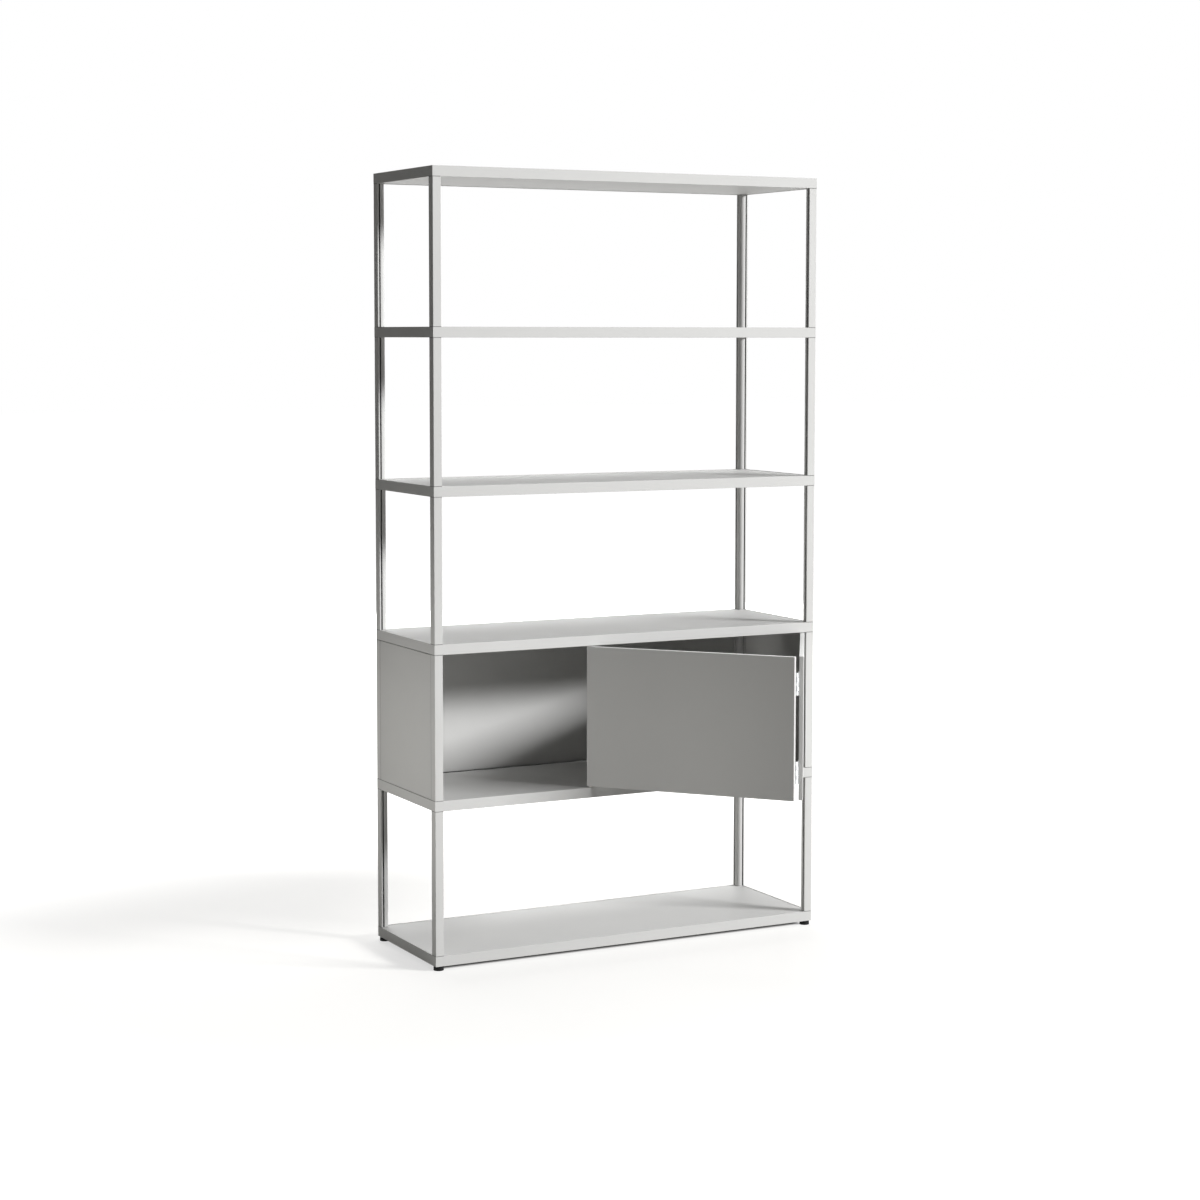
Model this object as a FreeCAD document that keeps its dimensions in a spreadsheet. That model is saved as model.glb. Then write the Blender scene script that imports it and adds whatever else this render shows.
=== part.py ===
import FreeCAD, Part
import math
import os
import Sketcher

# Metal shelving unit with six shelf frames on corner posts, levelling feet, and one closed
# bay whose two-leaf folding door stands half open. Lengths are millimetres, angles degrees.
# The origin is on the floor under the middle of the frame, +X right, +Y to the back, +Z up.

# Driving sizes
SIZES = {
    # Whole frame
    "unit_width": 1000.0,
    "unit_depth": 340.0,
    "bay_pitch": 355.0,
    "shelf_height": 24.0,
    # Shelf frame rails, deck and soffit
    "rim": 2.5,
    "rail_width": 20.0,
    "rail_wall": 1.2,
    "sheet_recess": 0.8,
    "sheet_gap": 0.8,
    "deck_sheet": 1.2,
    "soffit_sheet": 0.8,
    "rib_sheet": 1.2,
    "rib_depth": 14.0,
    "rib_offset": 170.0,
    # Corner blocks and the studs that tie the posts to them
    "arm_reach": 30.0,
    "fit_gap": 0.1,
    "slip_gap": 0.3,
    "tie_inset": 12.0,
    "stud_diameter": 6.0,
    "stud_grip": 20.0,
    "stud_cover": 1.0,
    # Corner posts
    "leg_along_width": 20.0,
    "leg_along_depth": 22.0,
    "flange": 4.0,
    "groove_width": 3.2,
    "groove_depth": 9.0,
    "nose_radius": 10.0,
    # Levelling feet
    "foot_height": 10.0,
    "pad_height": 8.0,
    "pad_diameter": 24.0,
    "pad_edge": 1.0,
    "pad_floor": 2.0,
    "stem_diameter": 8.0,
    "stem_grip": 12.0,
    "stem_relief": 2.0,
    # Cabinet panels
    "panel_sheet": 1.2,
    "panel_gap": 0.8,
    "tongue_grip": 8.0,
    # Folding door
    "leaf_thickness": 10.0,
    "leaf_sheet": 1.0,
    "leaf_difference": 53.0,
    "free_edge_gap": 2.0,
    "fold_gap": 2.0,
    "pivot_edge_gap": 3.0,
    "leaf_end_gap": 2.0,
    "door_angle": 57.7,
    "fold_ratio": 1.86,
    # Pivot pins and bushes of the hinge-side leaf
    "pivot_inset": 5.0,
    "pivot_diameter": 4.0,
    "pivot_grip": 8.0,
    "bush_wall": 1.5,
    "running_gap": 0.05,
    # Fold hinges
    "fold_axis_back": 5.0,
    "knuckle_diameter": 9.0,
    "knuckle_gap": 0.3,
    "hinge_height": 52.0,
    "hinge_inset": 37.0,
    "hinge_plate": 22.0,
    "hinge_sheet": 1.5,
    "hinge_set_back": 4.0,
    "hinge_pin": 4.0,
    # Glide under the free edge and magnets in the post beside it
    "glide_diameter": 8.0,
    "glide_gap": 0.4,
    "glide_stem": 4.0,
    "glide_grip": 6.0,
    "glide_inset": 8.0,
    "magnet_height": 30.0,
    "magnet_inset": 40.0,
}
BAY_COUNT = 5
CABINET_BAY = 2
KNUCKLE_COUNT = 5
FULL_TURN = 360
SAME_PLACE = 0.01
SHEET_NAME = "sizes"


class Size:
    """A length that keeps the sheet expression it was worked out with."""

    def __init__(self, value, text):
        self.value = float(value)
        self.text = text

    def __add__(self, other):
        return Size(self.value + number(other), f"({self.text} + {wording(other)})")

    def __radd__(self, other):
        return Size(number(other) + self.value, f"({wording(other)} + {self.text})")

    def __sub__(self, other):
        return Size(self.value - number(other), f"({self.text} - {wording(other)})")

    def __rsub__(self, other):
        return Size(number(other) - self.value, f"({wording(other)} - {self.text})")

    def __mul__(self, other):
        return Size(self.value * number(other), f"({self.text} * {wording(other)})")

    def __rmul__(self, other):
        return Size(number(other) * self.value, f"({wording(other)} * {self.text})")

    def __truediv__(self, other):
        return Size(self.value / number(other), f"({self.text} / {wording(other)})")

    def __neg__(self):
        return Size(-self.value, f"(0 - {self.text})")


def number(size):
    """Plain value of a size or number."""
    return size.value if isinstance(size, Size) else float(size)


def wording(size):
    """Expression text of a size or number."""
    return size.text if isinstance(size, Size) else repr(size)


class SizeSheet:
    """The sheet of driving sizes, read back as attributes."""

    def __init__(self, document):
        sheet = document.addObject("Spreadsheet::Sheet", SHEET_NAME)
        for row, (name, value) in enumerate(SIZES.items(), start=1):
            sheet.set(f"A{row}", name.replace("_", " "))
            sheet.set(f"B{row}", str(value))
            sheet.setAlias(f"B{row}", name)
        document.recompute()
        for name in SIZES:
            setattr(self, name, Size(sheet.get(name), f"{SHEET_NAME}.{name}"))


doc = FreeCAD.newDocument("shelving_unit")
dim = SizeSheet(doc)


def bind(thing, **sizes):
    """Set properties from sizes, keeping each one tied to the sheet."""
    for name, size in sizes.items():
        if isinstance(size, Size):
            thing.setExpression(name, size.text)
        else:
            setattr(thing, name, size)
    return thing


def move_to(thing, x=0, y=0, up=0):
    """Place a thing at a point whose coordinates follow the sheet."""
    for axis, size in (("x", x), ("y", y), ("z", up)):
        thing.setExpression(f"Placement.Base.{axis}", wording(size))
    return thing


# Sketches and features
def new_body(name):
    return doc.addObject("PartDesign::Body", name)


def sketch_on(body, role, offset=0):
    """New sketch on one of the body's own planes, shifted along the plane's normal."""
    plane = [item for item in body.Origin.OriginFeatures if item.Role == role][0]
    sketch = body.newObject("Sketcher::SketchObject", "sketch")
    sketch.AttachmentSupport = [(plane, "")]
    sketch.MapMode = "FlatFace"
    sketch.setExpression("AttachmentOffset.Base.z", wording(offset))
    return sketch


def fix(sketch, shape, point, x, y):
    """Hold a sketch point at coordinates that follow the sheet."""
    for kind, size in (("DistanceX", x), ("DistanceY", y)):
        index = sketch.addConstraint(Sketcher.Constraint(kind, -1, 1, shape, point, number(size)))
        sketch.setExpression(f"Constraints[{index}]", wording(size))


def polygon(sketch, corners):
    """Closed outline through the corners."""
    first = sketch.GeometryCount
    count = len(corners)
    spots = [FreeCAD.Vector(number(x), number(y), 0) for x, y in corners]
    for i in range(count):
        sketch.addGeometry(Part.LineSegment(spots[i], spots[(i + 1) % count]), False)
    for i in range(count):
        following = first + (i + 1) % count
        sketch.addConstraint(Sketcher.Constraint("Coincident", first + i, 2, following, 1))
    for i, (x, y) in enumerate(corners):
        fix(sketch, first + i, 1, x, y)
    return sketch


def rectangle(sketch, x0, x1, y0, y1):
    return polygon(sketch, [(x0, y0), (x1, y0), (x1, y1), (x0, y1)])


def disc(sketch, x, y, diameter):
    """Circle whose centre and diameter follow the sheet."""
    centre = FreeCAD.Vector(number(x), number(y), 0)
    shape = sketch.addGeometry(Part.Circle(centre, FreeCAD.Vector(0, 0, 1), number(diameter) / 2), False)
    fix(sketch, shape, 3, x, y)
    index = sketch.addConstraint(Sketcher.Constraint("Diameter", shape, number(diameter)))
    sketch.setExpression(f"Constraints[{index}]", wording(diameter))
    return sketch


def feature(body, kind, sketch, length, reverse=False):
    """Pad or pocket of a sketch, by a length that follows the sheet."""
    made = body.newObject(f"PartDesign::{kind}", kind.lower())
    made.Profile = sketch
    made.Reversed = reverse
    sketch.Visibility = False
    return bind(made, Length=length)


def pad(body, sketch, length, reverse=False):
    return feature(body, "Pad", sketch, length, reverse)


def pocket(body, sketch, length, reverse=False):
    return feature(body, "Pocket", sketch, length, reverse)


# Primitives and groups
def box(x0, x1, y0, y1, z0, z1):
    block = bind(doc.addObject("Part::Box", "box"), Length=x1 - x0, Width=y1 - y0, Height=z1 - z0)
    return move_to(block, x0, y0, z0)


def rod(diameter, x, y, z0, z1):
    """Upright cylinder between two heights."""
    cylinder = bind(doc.addObject("Part::Cylinder", "rod"), Radius=diameter / 2, Height=z1 - z0)
    return move_to(cylinder, x, y, z0)


def fuse(pieces):
    whole = doc.addObject("Part::MultiFuse", "fuse")
    whole.Shapes = pieces
    return whole


def cut(base, tool):
    rest = doc.addObject("Part::Cut", "cut")
    rest.Base = base
    rest.Tool = tool
    return rest


def mirrored(source, normal):
    """Mirror image across a plane through the origin."""
    image = doc.addObject("Part::Mirroring", "mirror")
    image.Source = source
    image.Normal = normal
    return image


def group(pieces, name="group"):
    whole = doc.addObject("Part::Compound", name)
    whole.Links = pieces
    return whole


def raised(source, up):
    """The same piece again, at another height."""
    return move_to(group([source]), up=up)


def cosine(angle):
    return Size(math.cos(math.radians(number(angle))), f"cos({wording(angle)})")


def sine(angle):
    return Size(math.sin(math.radians(number(angle))), f"sin({wording(angle)})")


def turned(pieces, x, y, angle):
    """Pieces turned about the upright line through a point in plan."""
    whole = group(pieces)
    move_to(whole, x - x * cosine(angle) + y * sine(angle), y - x * sine(angle) - y * cosine(angle))
    whole.setExpression("Placement.Rotation.Angle", wording(angle))
    return whole


ACROSS = FreeCAD.Vector(1, 0, 0)
FRONT_TO_BACK = FreeCAD.Vector(0, 1, 0)
UPRIGHT = FreeCAD.Vector(0, 0, 1)


def at_four_corners(piece):
    """The front-left piece and its images at the other three corners."""
    front_pair = [piece, mirrored(piece, ACROSS)]
    rear_pair = [mirrored(item, FRONT_TO_BACK) for item in front_pair]
    return front_pair + rear_pair


sub_parts = []


def node(name, pieces, up=0):
    """Named sub-part made of one or more separate solids."""
    whole = move_to(group(pieces, name), up=up)
    whole.Label = name
    sub_parts.append(whole)


# Places worked out from the driving sizes
left_side = -dim.unit_width / 2
front_side = -dim.unit_depth / 2
post_length = dim.bay_pitch - dim.shelf_height
deck_top = dim.shelf_height - dim.sheet_recess
deck_bottom = deck_top - dim.deck_sheet
soffit_top = dim.sheet_recess + dim.soffit_sheet
stud_bore = dim.stud_diameter + dim.fit_gap * 2
stem_bore = dim.stem_diameter + dim.fit_gap * 2
stem_bore_depth = dim.stem_grip + dim.stem_relief


def level(shelf):
    """Height of a shelf frame's underside; shelf 0 is the lowest."""
    return dim.foot_height + dim.bay_pitch * shelf


# Shelf frame rails
def rail(name, length, set_back):
    """Fascia with mitred ends and a channel behind it, set back to clear the corner blocks.

    It runs along +X from the origin, and its outer face looks along -Y.
    """
    body = new_body(name)
    fascia = sketch_on(body, "XY_Plane")
    polygon(fascia, [(0, 0), (length, 0), (length - dim.rim, dim.rim), (dim.rim, dim.rim)])
    pad(body, fascia, dim.shelf_height)
    section = sketch_on(body, "YZ_Plane", set_back)
    inner = dim.rail_width - dim.rail_wall
    polygon(section, [
        (dim.rim, soffit_top),
        (dim.rail_width, soffit_top),
        (dim.rail_width, deck_bottom),
        (dim.rim, deck_bottom),
        (dim.rim, deck_bottom - dim.rail_wall),
        (inner, deck_bottom - dim.rail_wall),
        (inner, soffit_top + dim.rail_wall),
        (dim.rim, soffit_top + dim.rail_wall),
    ])
    pad(body, section, length - set_back * 2)
    return body


front_rail = move_to(rail("front_rail", dim.unit_width, dim.leg_along_width), left_side, front_side)
rear_rail = mirrored(front_rail, FRONT_TO_BACK)
right_rail = rail("right_rail", dim.unit_depth, dim.leg_along_depth)
right_rail.Placement.Rotation = FreeCAD.Rotation(UPRIGHT, 90)
move_to(right_rail, -left_side, front_side)
left_rail = mirrored(right_rail, ACROSS)


# Corner blocks
def corner_block():
    """Cast block in the corner of a shelf frame, with an arm into each rail's channel."""
    body = new_body("corner_block")
    core = sketch_on(body, "XY_Plane")
    rectangle(core, dim.rim, dim.leg_along_width, dim.rim, dim.leg_along_depth)
    pad(body, core, dim.shelf_height)
    arm_near = dim.rim + dim.slip_gap
    arm_far = dim.rail_width - dim.rail_wall - dim.slip_gap
    arm_floor = soffit_top + dim.rail_wall + dim.slip_gap
    arm_height = deck_bottom - dim.rail_wall - dim.slip_gap - arm_floor
    arms = sketch_on(body, "XY_Plane", arm_floor)
    rectangle(arms, dim.leg_along_width, dim.leg_along_width + dim.arm_reach, arm_near, arm_far)
    pad(body, arms, arm_height)
    side_arm = sketch_on(body, "XY_Plane", arm_floor)
    rectangle(side_arm, arm_near, arm_far, dim.leg_along_depth, dim.leg_along_depth + dim.arm_reach)
    pad(body, side_arm, arm_height)
    bore = sketch_on(body, "XY_Plane")
    pocket(body, disc(bore, dim.tie_inset, dim.tie_inset, stud_bore), dim.shelf_height, reverse=True)
    foot_bore = sketch_on(body, "XY_Plane")
    pocket(body, disc(foot_bore, dim.tie_inset, dim.tie_inset, stem_bore), stem_bore_depth, reverse=True)
    return move_to(body, left_side, front_side)


corner_blocks = at_four_corners(corner_block())


# Deck and soffit sheets
def sheet_outline(sketch):
    """Rectangle inside the rims, notched round the corner blocks."""
    half_width = dim.unit_width / 2 - dim.rim - dim.sheet_gap
    half_depth = dim.unit_depth / 2 - dim.rim - dim.sheet_gap
    notch_x = dim.unit_width / 2 - dim.leg_along_width - dim.sheet_gap
    notch_y = dim.unit_depth / 2 - dim.leg_along_depth - dim.sheet_gap
    return polygon(sketch, [
        (-notch_x, -half_depth),
        (notch_x, -half_depth),
        (notch_x, -notch_y),
        (half_width, -notch_y),
        (half_width, notch_y),
        (notch_x, notch_y),
        (notch_x, half_depth),
        (-notch_x, half_depth),
        (-notch_x, notch_y),
        (-half_width, notch_y),
        (-half_width, -notch_y),
        (-notch_x, -notch_y),
    ])


def deck():
    """Flat top sheet with two stiffening ribs under it."""
    body = new_body("deck")
    pad(body, sheet_outline(sketch_on(body, "XY_Plane", deck_bottom)), dim.deck_sheet)
    rib_end = dim.unit_depth / 2 - dim.rail_width - dim.sheet_gap
    for side in (-1, 1):
        near = dim.rib_offset * side
        rib = sketch_on(body, "XY_Plane", deck_bottom)
        pad(body, rectangle(rib, near, near + dim.rib_sheet, -rib_end, rib_end), dim.rib_depth, reverse=True)
    return body


def soffit():
    """Flat bottom sheet."""
    body = new_body("soffit")
    pad(body, sheet_outline(sketch_on(body, "XY_Plane", dim.sheet_recess)), dim.soffit_sheet)
    return body


deck_sheet = deck()
soffit_sheet = soffit()

for shelf in range(BAY_COUNT + 1):
    title = f"shelf_{shelf + 1}"
    node(f"{title}_front_and_rear_rails", [front_rail, rear_rail], up=level(shelf))
    node(f"{title}_end_rails", [left_rail, right_rail], up=level(shelf))
    node(f"{title}_corner_blocks", corner_blocks, up=level(shelf))
    node(f"{title}_deck", [deck_sheet], up=level(shelf))
    node(f"{title}_soffit", [soffit_sheet], up=level(shelf))


# Corner posts
def post():
    """Extruded corner post: two outer flanges, a panel groove behind each, and a rounded nose."""
    body = new_body("post")
    section = sketch_on(body, "XY_Plane")
    groove_back = dim.flange + dim.groove_width
    polygon(section, [
        (0, 0),
        (dim.leg_along_width, 0),
        (dim.leg_along_width, dim.flange),
        (dim.leg_along_width - dim.groove_depth, dim.flange),
        (dim.leg_along_width - dim.groove_depth, groove_back),
        (dim.leg_along_width, groove_back),
        (dim.leg_along_width, dim.leg_along_depth),
        (groove_back, dim.leg_along_depth),
        (groove_back, dim.leg_along_depth - dim.groove_depth),
        (dim.flange, dim.leg_along_depth - dim.groove_depth),
        (dim.flange, dim.leg_along_depth),
        (0, dim.leg_along_depth),
    ])
    disc(section, dim.tie_inset, dim.tie_inset, stud_bore)
    block = pad(body, section, post_length)
    doc.recompute()
    nose = body.newObject("PartDesign::Fillet", "nose")
    nose.Base = (block, [upright_edge(block.Shape, dim.leg_along_width, dim.leg_along_depth)])
    bind(nose, Radius=dim.nose_radius)
    return move_to(body, left_side, front_side)


def upright_edge(shape, x, y):
    """Name of the upright edge that passes through a point in plan."""
    for index, edge in enumerate(shape.Edges, start=1):
        ends = [vertex.Point for vertex in edge.Vertexes]
        in_plan = all(math.hypot(p.x - number(x), p.y - number(y)) < SAME_PLACE for p in ends)
        if len(ends) == 2 and in_plan:
            return f"Edge{index}"
    raise ValueError("no upright edge at that point")


posts = at_four_corners(post())
for bay in range(BAY_COUNT):
    node(f"bay_{bay + 1}_posts", posts, up=level(bay) + dim.shelf_height)


# Studs that tie posts and corner blocks together
def studs():
    """Four studs at each shelf frame, gripping the posts above and below it."""
    made = []
    for shelf in range(BAY_COUNT + 1):
        lower_end = -dim.stud_grip if shelf > 0 else stem_bore_depth + dim.fit_gap
        upper_end = dim.shelf_height - dim.stud_cover
        if shelf < BAY_COUNT:
            upper_end = dim.shelf_height + dim.stud_grip
        stud = rod(dim.stud_diameter, left_side + dim.tie_inset, front_side + dim.tie_inset,
                   level(shelf) + lower_end, level(shelf) + upper_end)
        made += at_four_corners(stud)
    return made


node("tie_studs", studs())


# Levelling feet
def foot_pad():
    """Round moulded pad with a blind socket for the stem."""
    body = new_body("foot_pad")
    section = sketch_on(body, "XZ_Plane")
    outer = dim.pad_diameter / 2
    socket = stem_bore / 2
    polygon(section, [
        (0, 0),
        (outer - dim.pad_edge, 0),
        (outer, dim.pad_edge),
        (outer, dim.pad_height - dim.pad_edge),
        (outer - dim.pad_edge, dim.pad_height),
        (socket, dim.pad_height),
        (socket, dim.pad_floor),
        (0, dim.pad_floor),
    ])
    lathe = body.newObject("PartDesign::Revolution", "lathe")
    lathe.Profile = section
    lathe.ReferenceAxis = (section, ["V_Axis"])
    lathe.Angle = FULL_TURN
    section.Visibility = False
    return move_to(body, left_side + dim.tie_inset, front_side + dim.tie_inset)


foot_stem = rod(dim.stem_diameter, left_side + dim.tie_inset, front_side + dim.tie_inset,
                dim.pad_floor + dim.fit_gap, dim.foot_height + dim.stem_grip)
corner_names = ("front_left", "front_right", "rear_left", "rear_right")
pads = at_four_corners(foot_pad())
stems = at_four_corners(foot_stem)
for corner, pad_piece, stem_piece in zip(corner_names, pads, stems):
    node(f"foot_pad_{corner}", [pad_piece])
    node(f"foot_stem_{corner}", [stem_piece])


# Cabinet panels
def panel(name, length, leg):
    """Folded sheet, flush with the frame outside, with a tongue into each post's groove.

    It runs along +X from the corner of the frame, and its outer face looks along -Y.
    """
    body = new_body(name)
    section = sketch_on(body, "XY_Plane")
    near = leg + dim.slip_gap
    far = length - near
    tongue_front = dim.flange + (dim.groove_width - dim.panel_sheet) / 2
    tongue_back = tongue_front + dim.panel_sheet
    reach = dim.slip_gap + dim.tongue_grip
    polygon(section, [
        (near, 0),
        (far, 0),
        (far, tongue_front),
        (far + reach, tongue_front),
        (far + reach, tongue_back),
        (far - dim.panel_sheet, tongue_back),
        (far - dim.panel_sheet, dim.panel_sheet),
        (near + dim.panel_sheet, dim.panel_sheet),
        (near + dim.panel_sheet, tongue_back),
        (near - reach, tongue_back),
        (near - reach, tongue_front),
        (near, tongue_front),
    ])
    pad(body, section, post_length - dim.panel_gap * 2)
    return body


cabinet_floor = level(CABINET_BAY - 1) + dim.shelf_height
cabinet_roof = level(CABINET_BAY)
side_panel = panel("side_panel", dim.unit_depth, dim.leg_along_depth)
side_panel.Placement.Rotation = FreeCAD.Rotation(UPRIGHT, 90)
move_to(side_panel, -left_side, front_side)
back_panel = panel("back_panel", dim.unit_width, dim.leg_along_width)
move_to(back_panel, left_side, front_side)
panel_floor = cabinet_floor + dim.panel_gap
node("cabinet_right_panel", [side_panel], up=panel_floor)
node("cabinet_left_panel", [mirrored(side_panel, ACROSS)], up=panel_floor)
node("cabinet_back_panel", [mirrored(back_panel, FRONT_TO_BACK)], up=panel_floor)

# Door layout, drawn closed in the plane of the front
door_left = left_side + dim.leg_along_width + dim.free_edge_gap
door_right = -left_side - dim.leg_along_width - dim.pivot_edge_gap
lead_leaf_width = (door_right - door_left - dim.fold_gap + dim.leaf_difference) / 2
lead_leaf_right = door_left + lead_leaf_width
hinge_leaf_left = lead_leaf_right + dim.fold_gap
leaf_floor = cabinet_floor + dim.leaf_end_gap
leaf_roof = cabinet_roof - dim.leaf_end_gap
pivot_x = door_right - dim.pivot_inset
pivot_y = front_side + dim.pivot_inset
fold_x = hinge_leaf_left - dim.fold_gap / 2
fold_y = front_side + dim.leaf_thickness + dim.fold_axis_back
bush_diameter = dim.pivot_diameter + dim.running_gap * 2 + dim.bush_wall * 2
bush_hole = bush_diameter + dim.fit_gap * 2


# Half-open pose
def on_hinge_leaf(pieces):
    """Pieces carried by the hinge-side leaf, turned with it about its pivots."""
    return turned(pieces, pivot_x, pivot_y, dim.door_angle)


def on_lead_leaf(pieces):
    """Pieces carried by the lead leaf, folded back on the hinge-side leaf and turned with it."""
    return on_hinge_leaf([turned(pieces, fold_x, fold_y, -dim.door_angle * dim.fold_ratio)])


# Door leaves
def leaf_shell(name, x0, x1):
    """Folded steel tray, open at the back."""
    body = new_body(name)
    outside = sketch_on(body, "XY_Plane", leaf_floor)
    rectangle(outside, x0, x1, front_side, front_side + dim.leaf_thickness)
    pad(body, outside, leaf_roof - leaf_floor)
    hollow = sketch_on(body, "XY_Plane", leaf_floor + dim.leaf_sheet)
    rectangle(hollow, x0 + dim.leaf_sheet, x1 - dim.leaf_sheet,
              front_side + dim.leaf_sheet, front_side + dim.leaf_thickness)
    pocket(body, hollow, leaf_roof - leaf_floor - dim.leaf_sheet * 2, reverse=True)
    return body


def drill_shell(body, x, y, diameter, depth):
    """Round upright hole from the bottom edge upwards."""
    hole = sketch_on(body, "XY_Plane", leaf_floor)
    pocket(body, disc(hole, x, y, diameter), depth, reverse=True)
    return body


def leaf_cover(name, x0, x1):
    """Flat sheet that closes the back of a leaf."""
    body = new_body(name)
    edge = dim.leaf_sheet + dim.fit_gap
    sheet = sketch_on(body, "XY_Plane", leaf_floor + edge)
    back = front_side + dim.leaf_thickness
    rectangle(sheet, x0 + edge, x1 - edge, back - dim.leaf_sheet, back)
    pad(body, sheet, leaf_roof - leaf_floor - edge * 2)
    return body


leaf_height = leaf_roof - leaf_floor
glide_x = door_left + dim.glide_inset
glide_y = front_side + dim.leaf_thickness / 2
hinge_shell = leaf_shell("hinge_shell", hinge_leaf_left, door_right)
drill_shell(hinge_shell, pivot_x, pivot_y, bush_hole, leaf_height)
lead_shell = leaf_shell("lead_shell", door_left, lead_leaf_right)
drill_shell(lead_shell, glide_x, glide_y, dim.glide_stem + dim.fit_gap * 2, dim.leaf_sheet)
hinge_cover = leaf_cover("hinge_cover", hinge_leaf_left, door_right)
lead_cover = leaf_cover("lead_cover", door_left, lead_leaf_right)
node("hinge_leaf_shell", [on_hinge_leaf([hinge_shell])])
node("hinge_leaf_cover", [on_hinge_leaf([hinge_cover])])
node("lead_leaf_shell", [on_lead_leaf([lead_shell])])
node("lead_leaf_cover", [on_lead_leaf([lead_cover])])


# Fold hinges
def hinge_half(side, own):
    """Plate on the back of a leaf, with this half's share of the knuckles.

    side is +1 for the half on the hinge-side leaf and -1 for the half on the lead leaf.
    """
    plate_back = fold_y - dim.fold_axis_back + dim.hinge_sheet
    plate_front = fold_y - dim.fold_axis_back
    near = fold_x + dim.hinge_set_back * side
    far = near + dim.hinge_plate * side
    low, high = (near, far) if side > 0 else (far, near)
    plate = box(low, high, plate_front, plate_back, 0, dim.hinge_height)
    pieces = [plate]
    step = dim.hinge_height / KNUCKLE_COUNT
    for index in own:
        bottom = step * index + dim.knuckle_gap / 2
        top = step * (index + 1) - dim.knuckle_gap / 2
        pieces.append(rod(dim.knuckle_diameter, fold_x, fold_y, bottom, top))
        inner, outer = (fold_x, near) if side > 0 else (near, fold_x)
        pieces.append(box(inner, outer, plate_front, plate_back, bottom, top))
    bore = dim.hinge_pin + dim.running_gap * 2
    return cut(fuse(pieces), rod(bore, fold_x, fold_y, -dim.knuckle_gap, dim.hinge_height + dim.knuckle_gap))


lower_hinge = leaf_floor + dim.hinge_inset
upper_hinge = leaf_roof - dim.hinge_inset - dim.hinge_height


def at_both_hinges(piece):
    return [raised(piece, lower_hinge), raised(piece, upper_hinge)]


lead_half = hinge_half(-1, range(0, KNUCKLE_COUNT, 2))
hinge_side_half = hinge_half(1, range(1, KNUCKLE_COUNT, 2))
hinge_pin = rod(dim.hinge_pin, fold_x, fold_y, dim.knuckle_gap / 2, dim.hinge_height - dim.knuckle_gap / 2)
node("fold_hinge_lead_halves", [on_lead_leaf(at_both_hinges(lead_half))])
node("fold_hinge_halves", [on_hinge_leaf(at_both_hinges(hinge_side_half))])
node("fold_hinge_pins", [on_hinge_leaf(at_both_hinges(hinge_pin))])

# Pivot pins on the shelves and bushes in the hinge-side leaf
deck_face = cabinet_floor - dim.sheet_recess
soffit_face = cabinet_roof + dim.sheet_recess
node("door_pivot_pins", [
    rod(dim.pivot_diameter, pivot_x, pivot_y, deck_face, leaf_floor + dim.pivot_grip),
    rod(dim.pivot_diameter, pivot_x, pivot_y, leaf_roof - dim.pivot_grip, soffit_face),
])


def pivot_bush(z0):
    """Plain sleeve round a pivot pin."""
    sleeve = rod(bush_diameter, pivot_x, pivot_y, z0, z0 + dim.pivot_grip)
    bore = rod(dim.pivot_diameter + dim.running_gap * 2, pivot_x, pivot_y, z0, z0 + dim.pivot_grip)
    return cut(sleeve, bore)


node("door_pivot_bushes", [on_hinge_leaf([
    pivot_bush(leaf_floor),
    pivot_bush(leaf_roof - dim.pivot_grip),
])])

# Glide that carries the free edge over the shelf
glide_foot = cabinet_floor + dim.glide_gap
glide = fuse([
    rod(dim.glide_diameter, glide_x, glide_y, glide_foot, leaf_floor),
    rod(dim.glide_stem, glide_x, glide_y, leaf_floor, leaf_floor + dim.glide_grip),
])
node("door_glide", [on_lead_leaf([glide])])


# Magnets in the groove of the post beside the free edge
def magnet(z0):
    groove_end = left_side + dim.leg_along_width
    groove_front = front_side + dim.flange
    return box(groove_end - dim.groove_depth + dim.fit_gap, groove_end,
               groove_front + dim.fit_gap, groove_front + dim.groove_width - dim.fit_gap,
               z0, z0 + dim.magnet_height)


node("door_magnets", [magnet(cabinet_floor + dim.magnet_inset),
                      magnet(cabinet_roof - dim.magnet_inset - dim.magnet_height)])

# Check every object before anything is written
doc.recompute()
faulty = [item.Name for item in doc.Objects if {"Invalid", "Error"} & set(item.State)]
if faulty:
    raise RuntimeError(f"objects that failed: {faulty}")
for part in sub_parts:
    if part.Shape.isNull() or not part.Shape.isValid():
        raise RuntimeError(f"{part.Label} has no valid shape")

os.makedirs("parts", exist_ok=True)
for part in sub_parts:
    part.Shape.exportStep(os.path.join("parts", f"{part.Label}.step"))
    extent = part.Shape.BoundBox
    print(f"{part.Label}: {len(part.Shape.Solids)} solids, {part.Shape.Volume:.0f} mm3, "
          f"z {extent.ZMin:.1f} to {extent.ZMax:.1f}")
print(len(sub_parts), "sub-parts")
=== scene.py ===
"""Dresses a metal shelving unit with a half-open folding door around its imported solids.

Lengths are metres in the part's own frame: the origin is on the floor under the middle of the
shelf frames, +X points right, +Y to the back and +Z up. Angles are degrees unless a name says so.
"""
import logging
import math
from collections.abc import Sequence
from dataclasses import dataclass, field
from enum import Enum

import bpy
import numpy as np
from mathutils import Matrix, Vector


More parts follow.
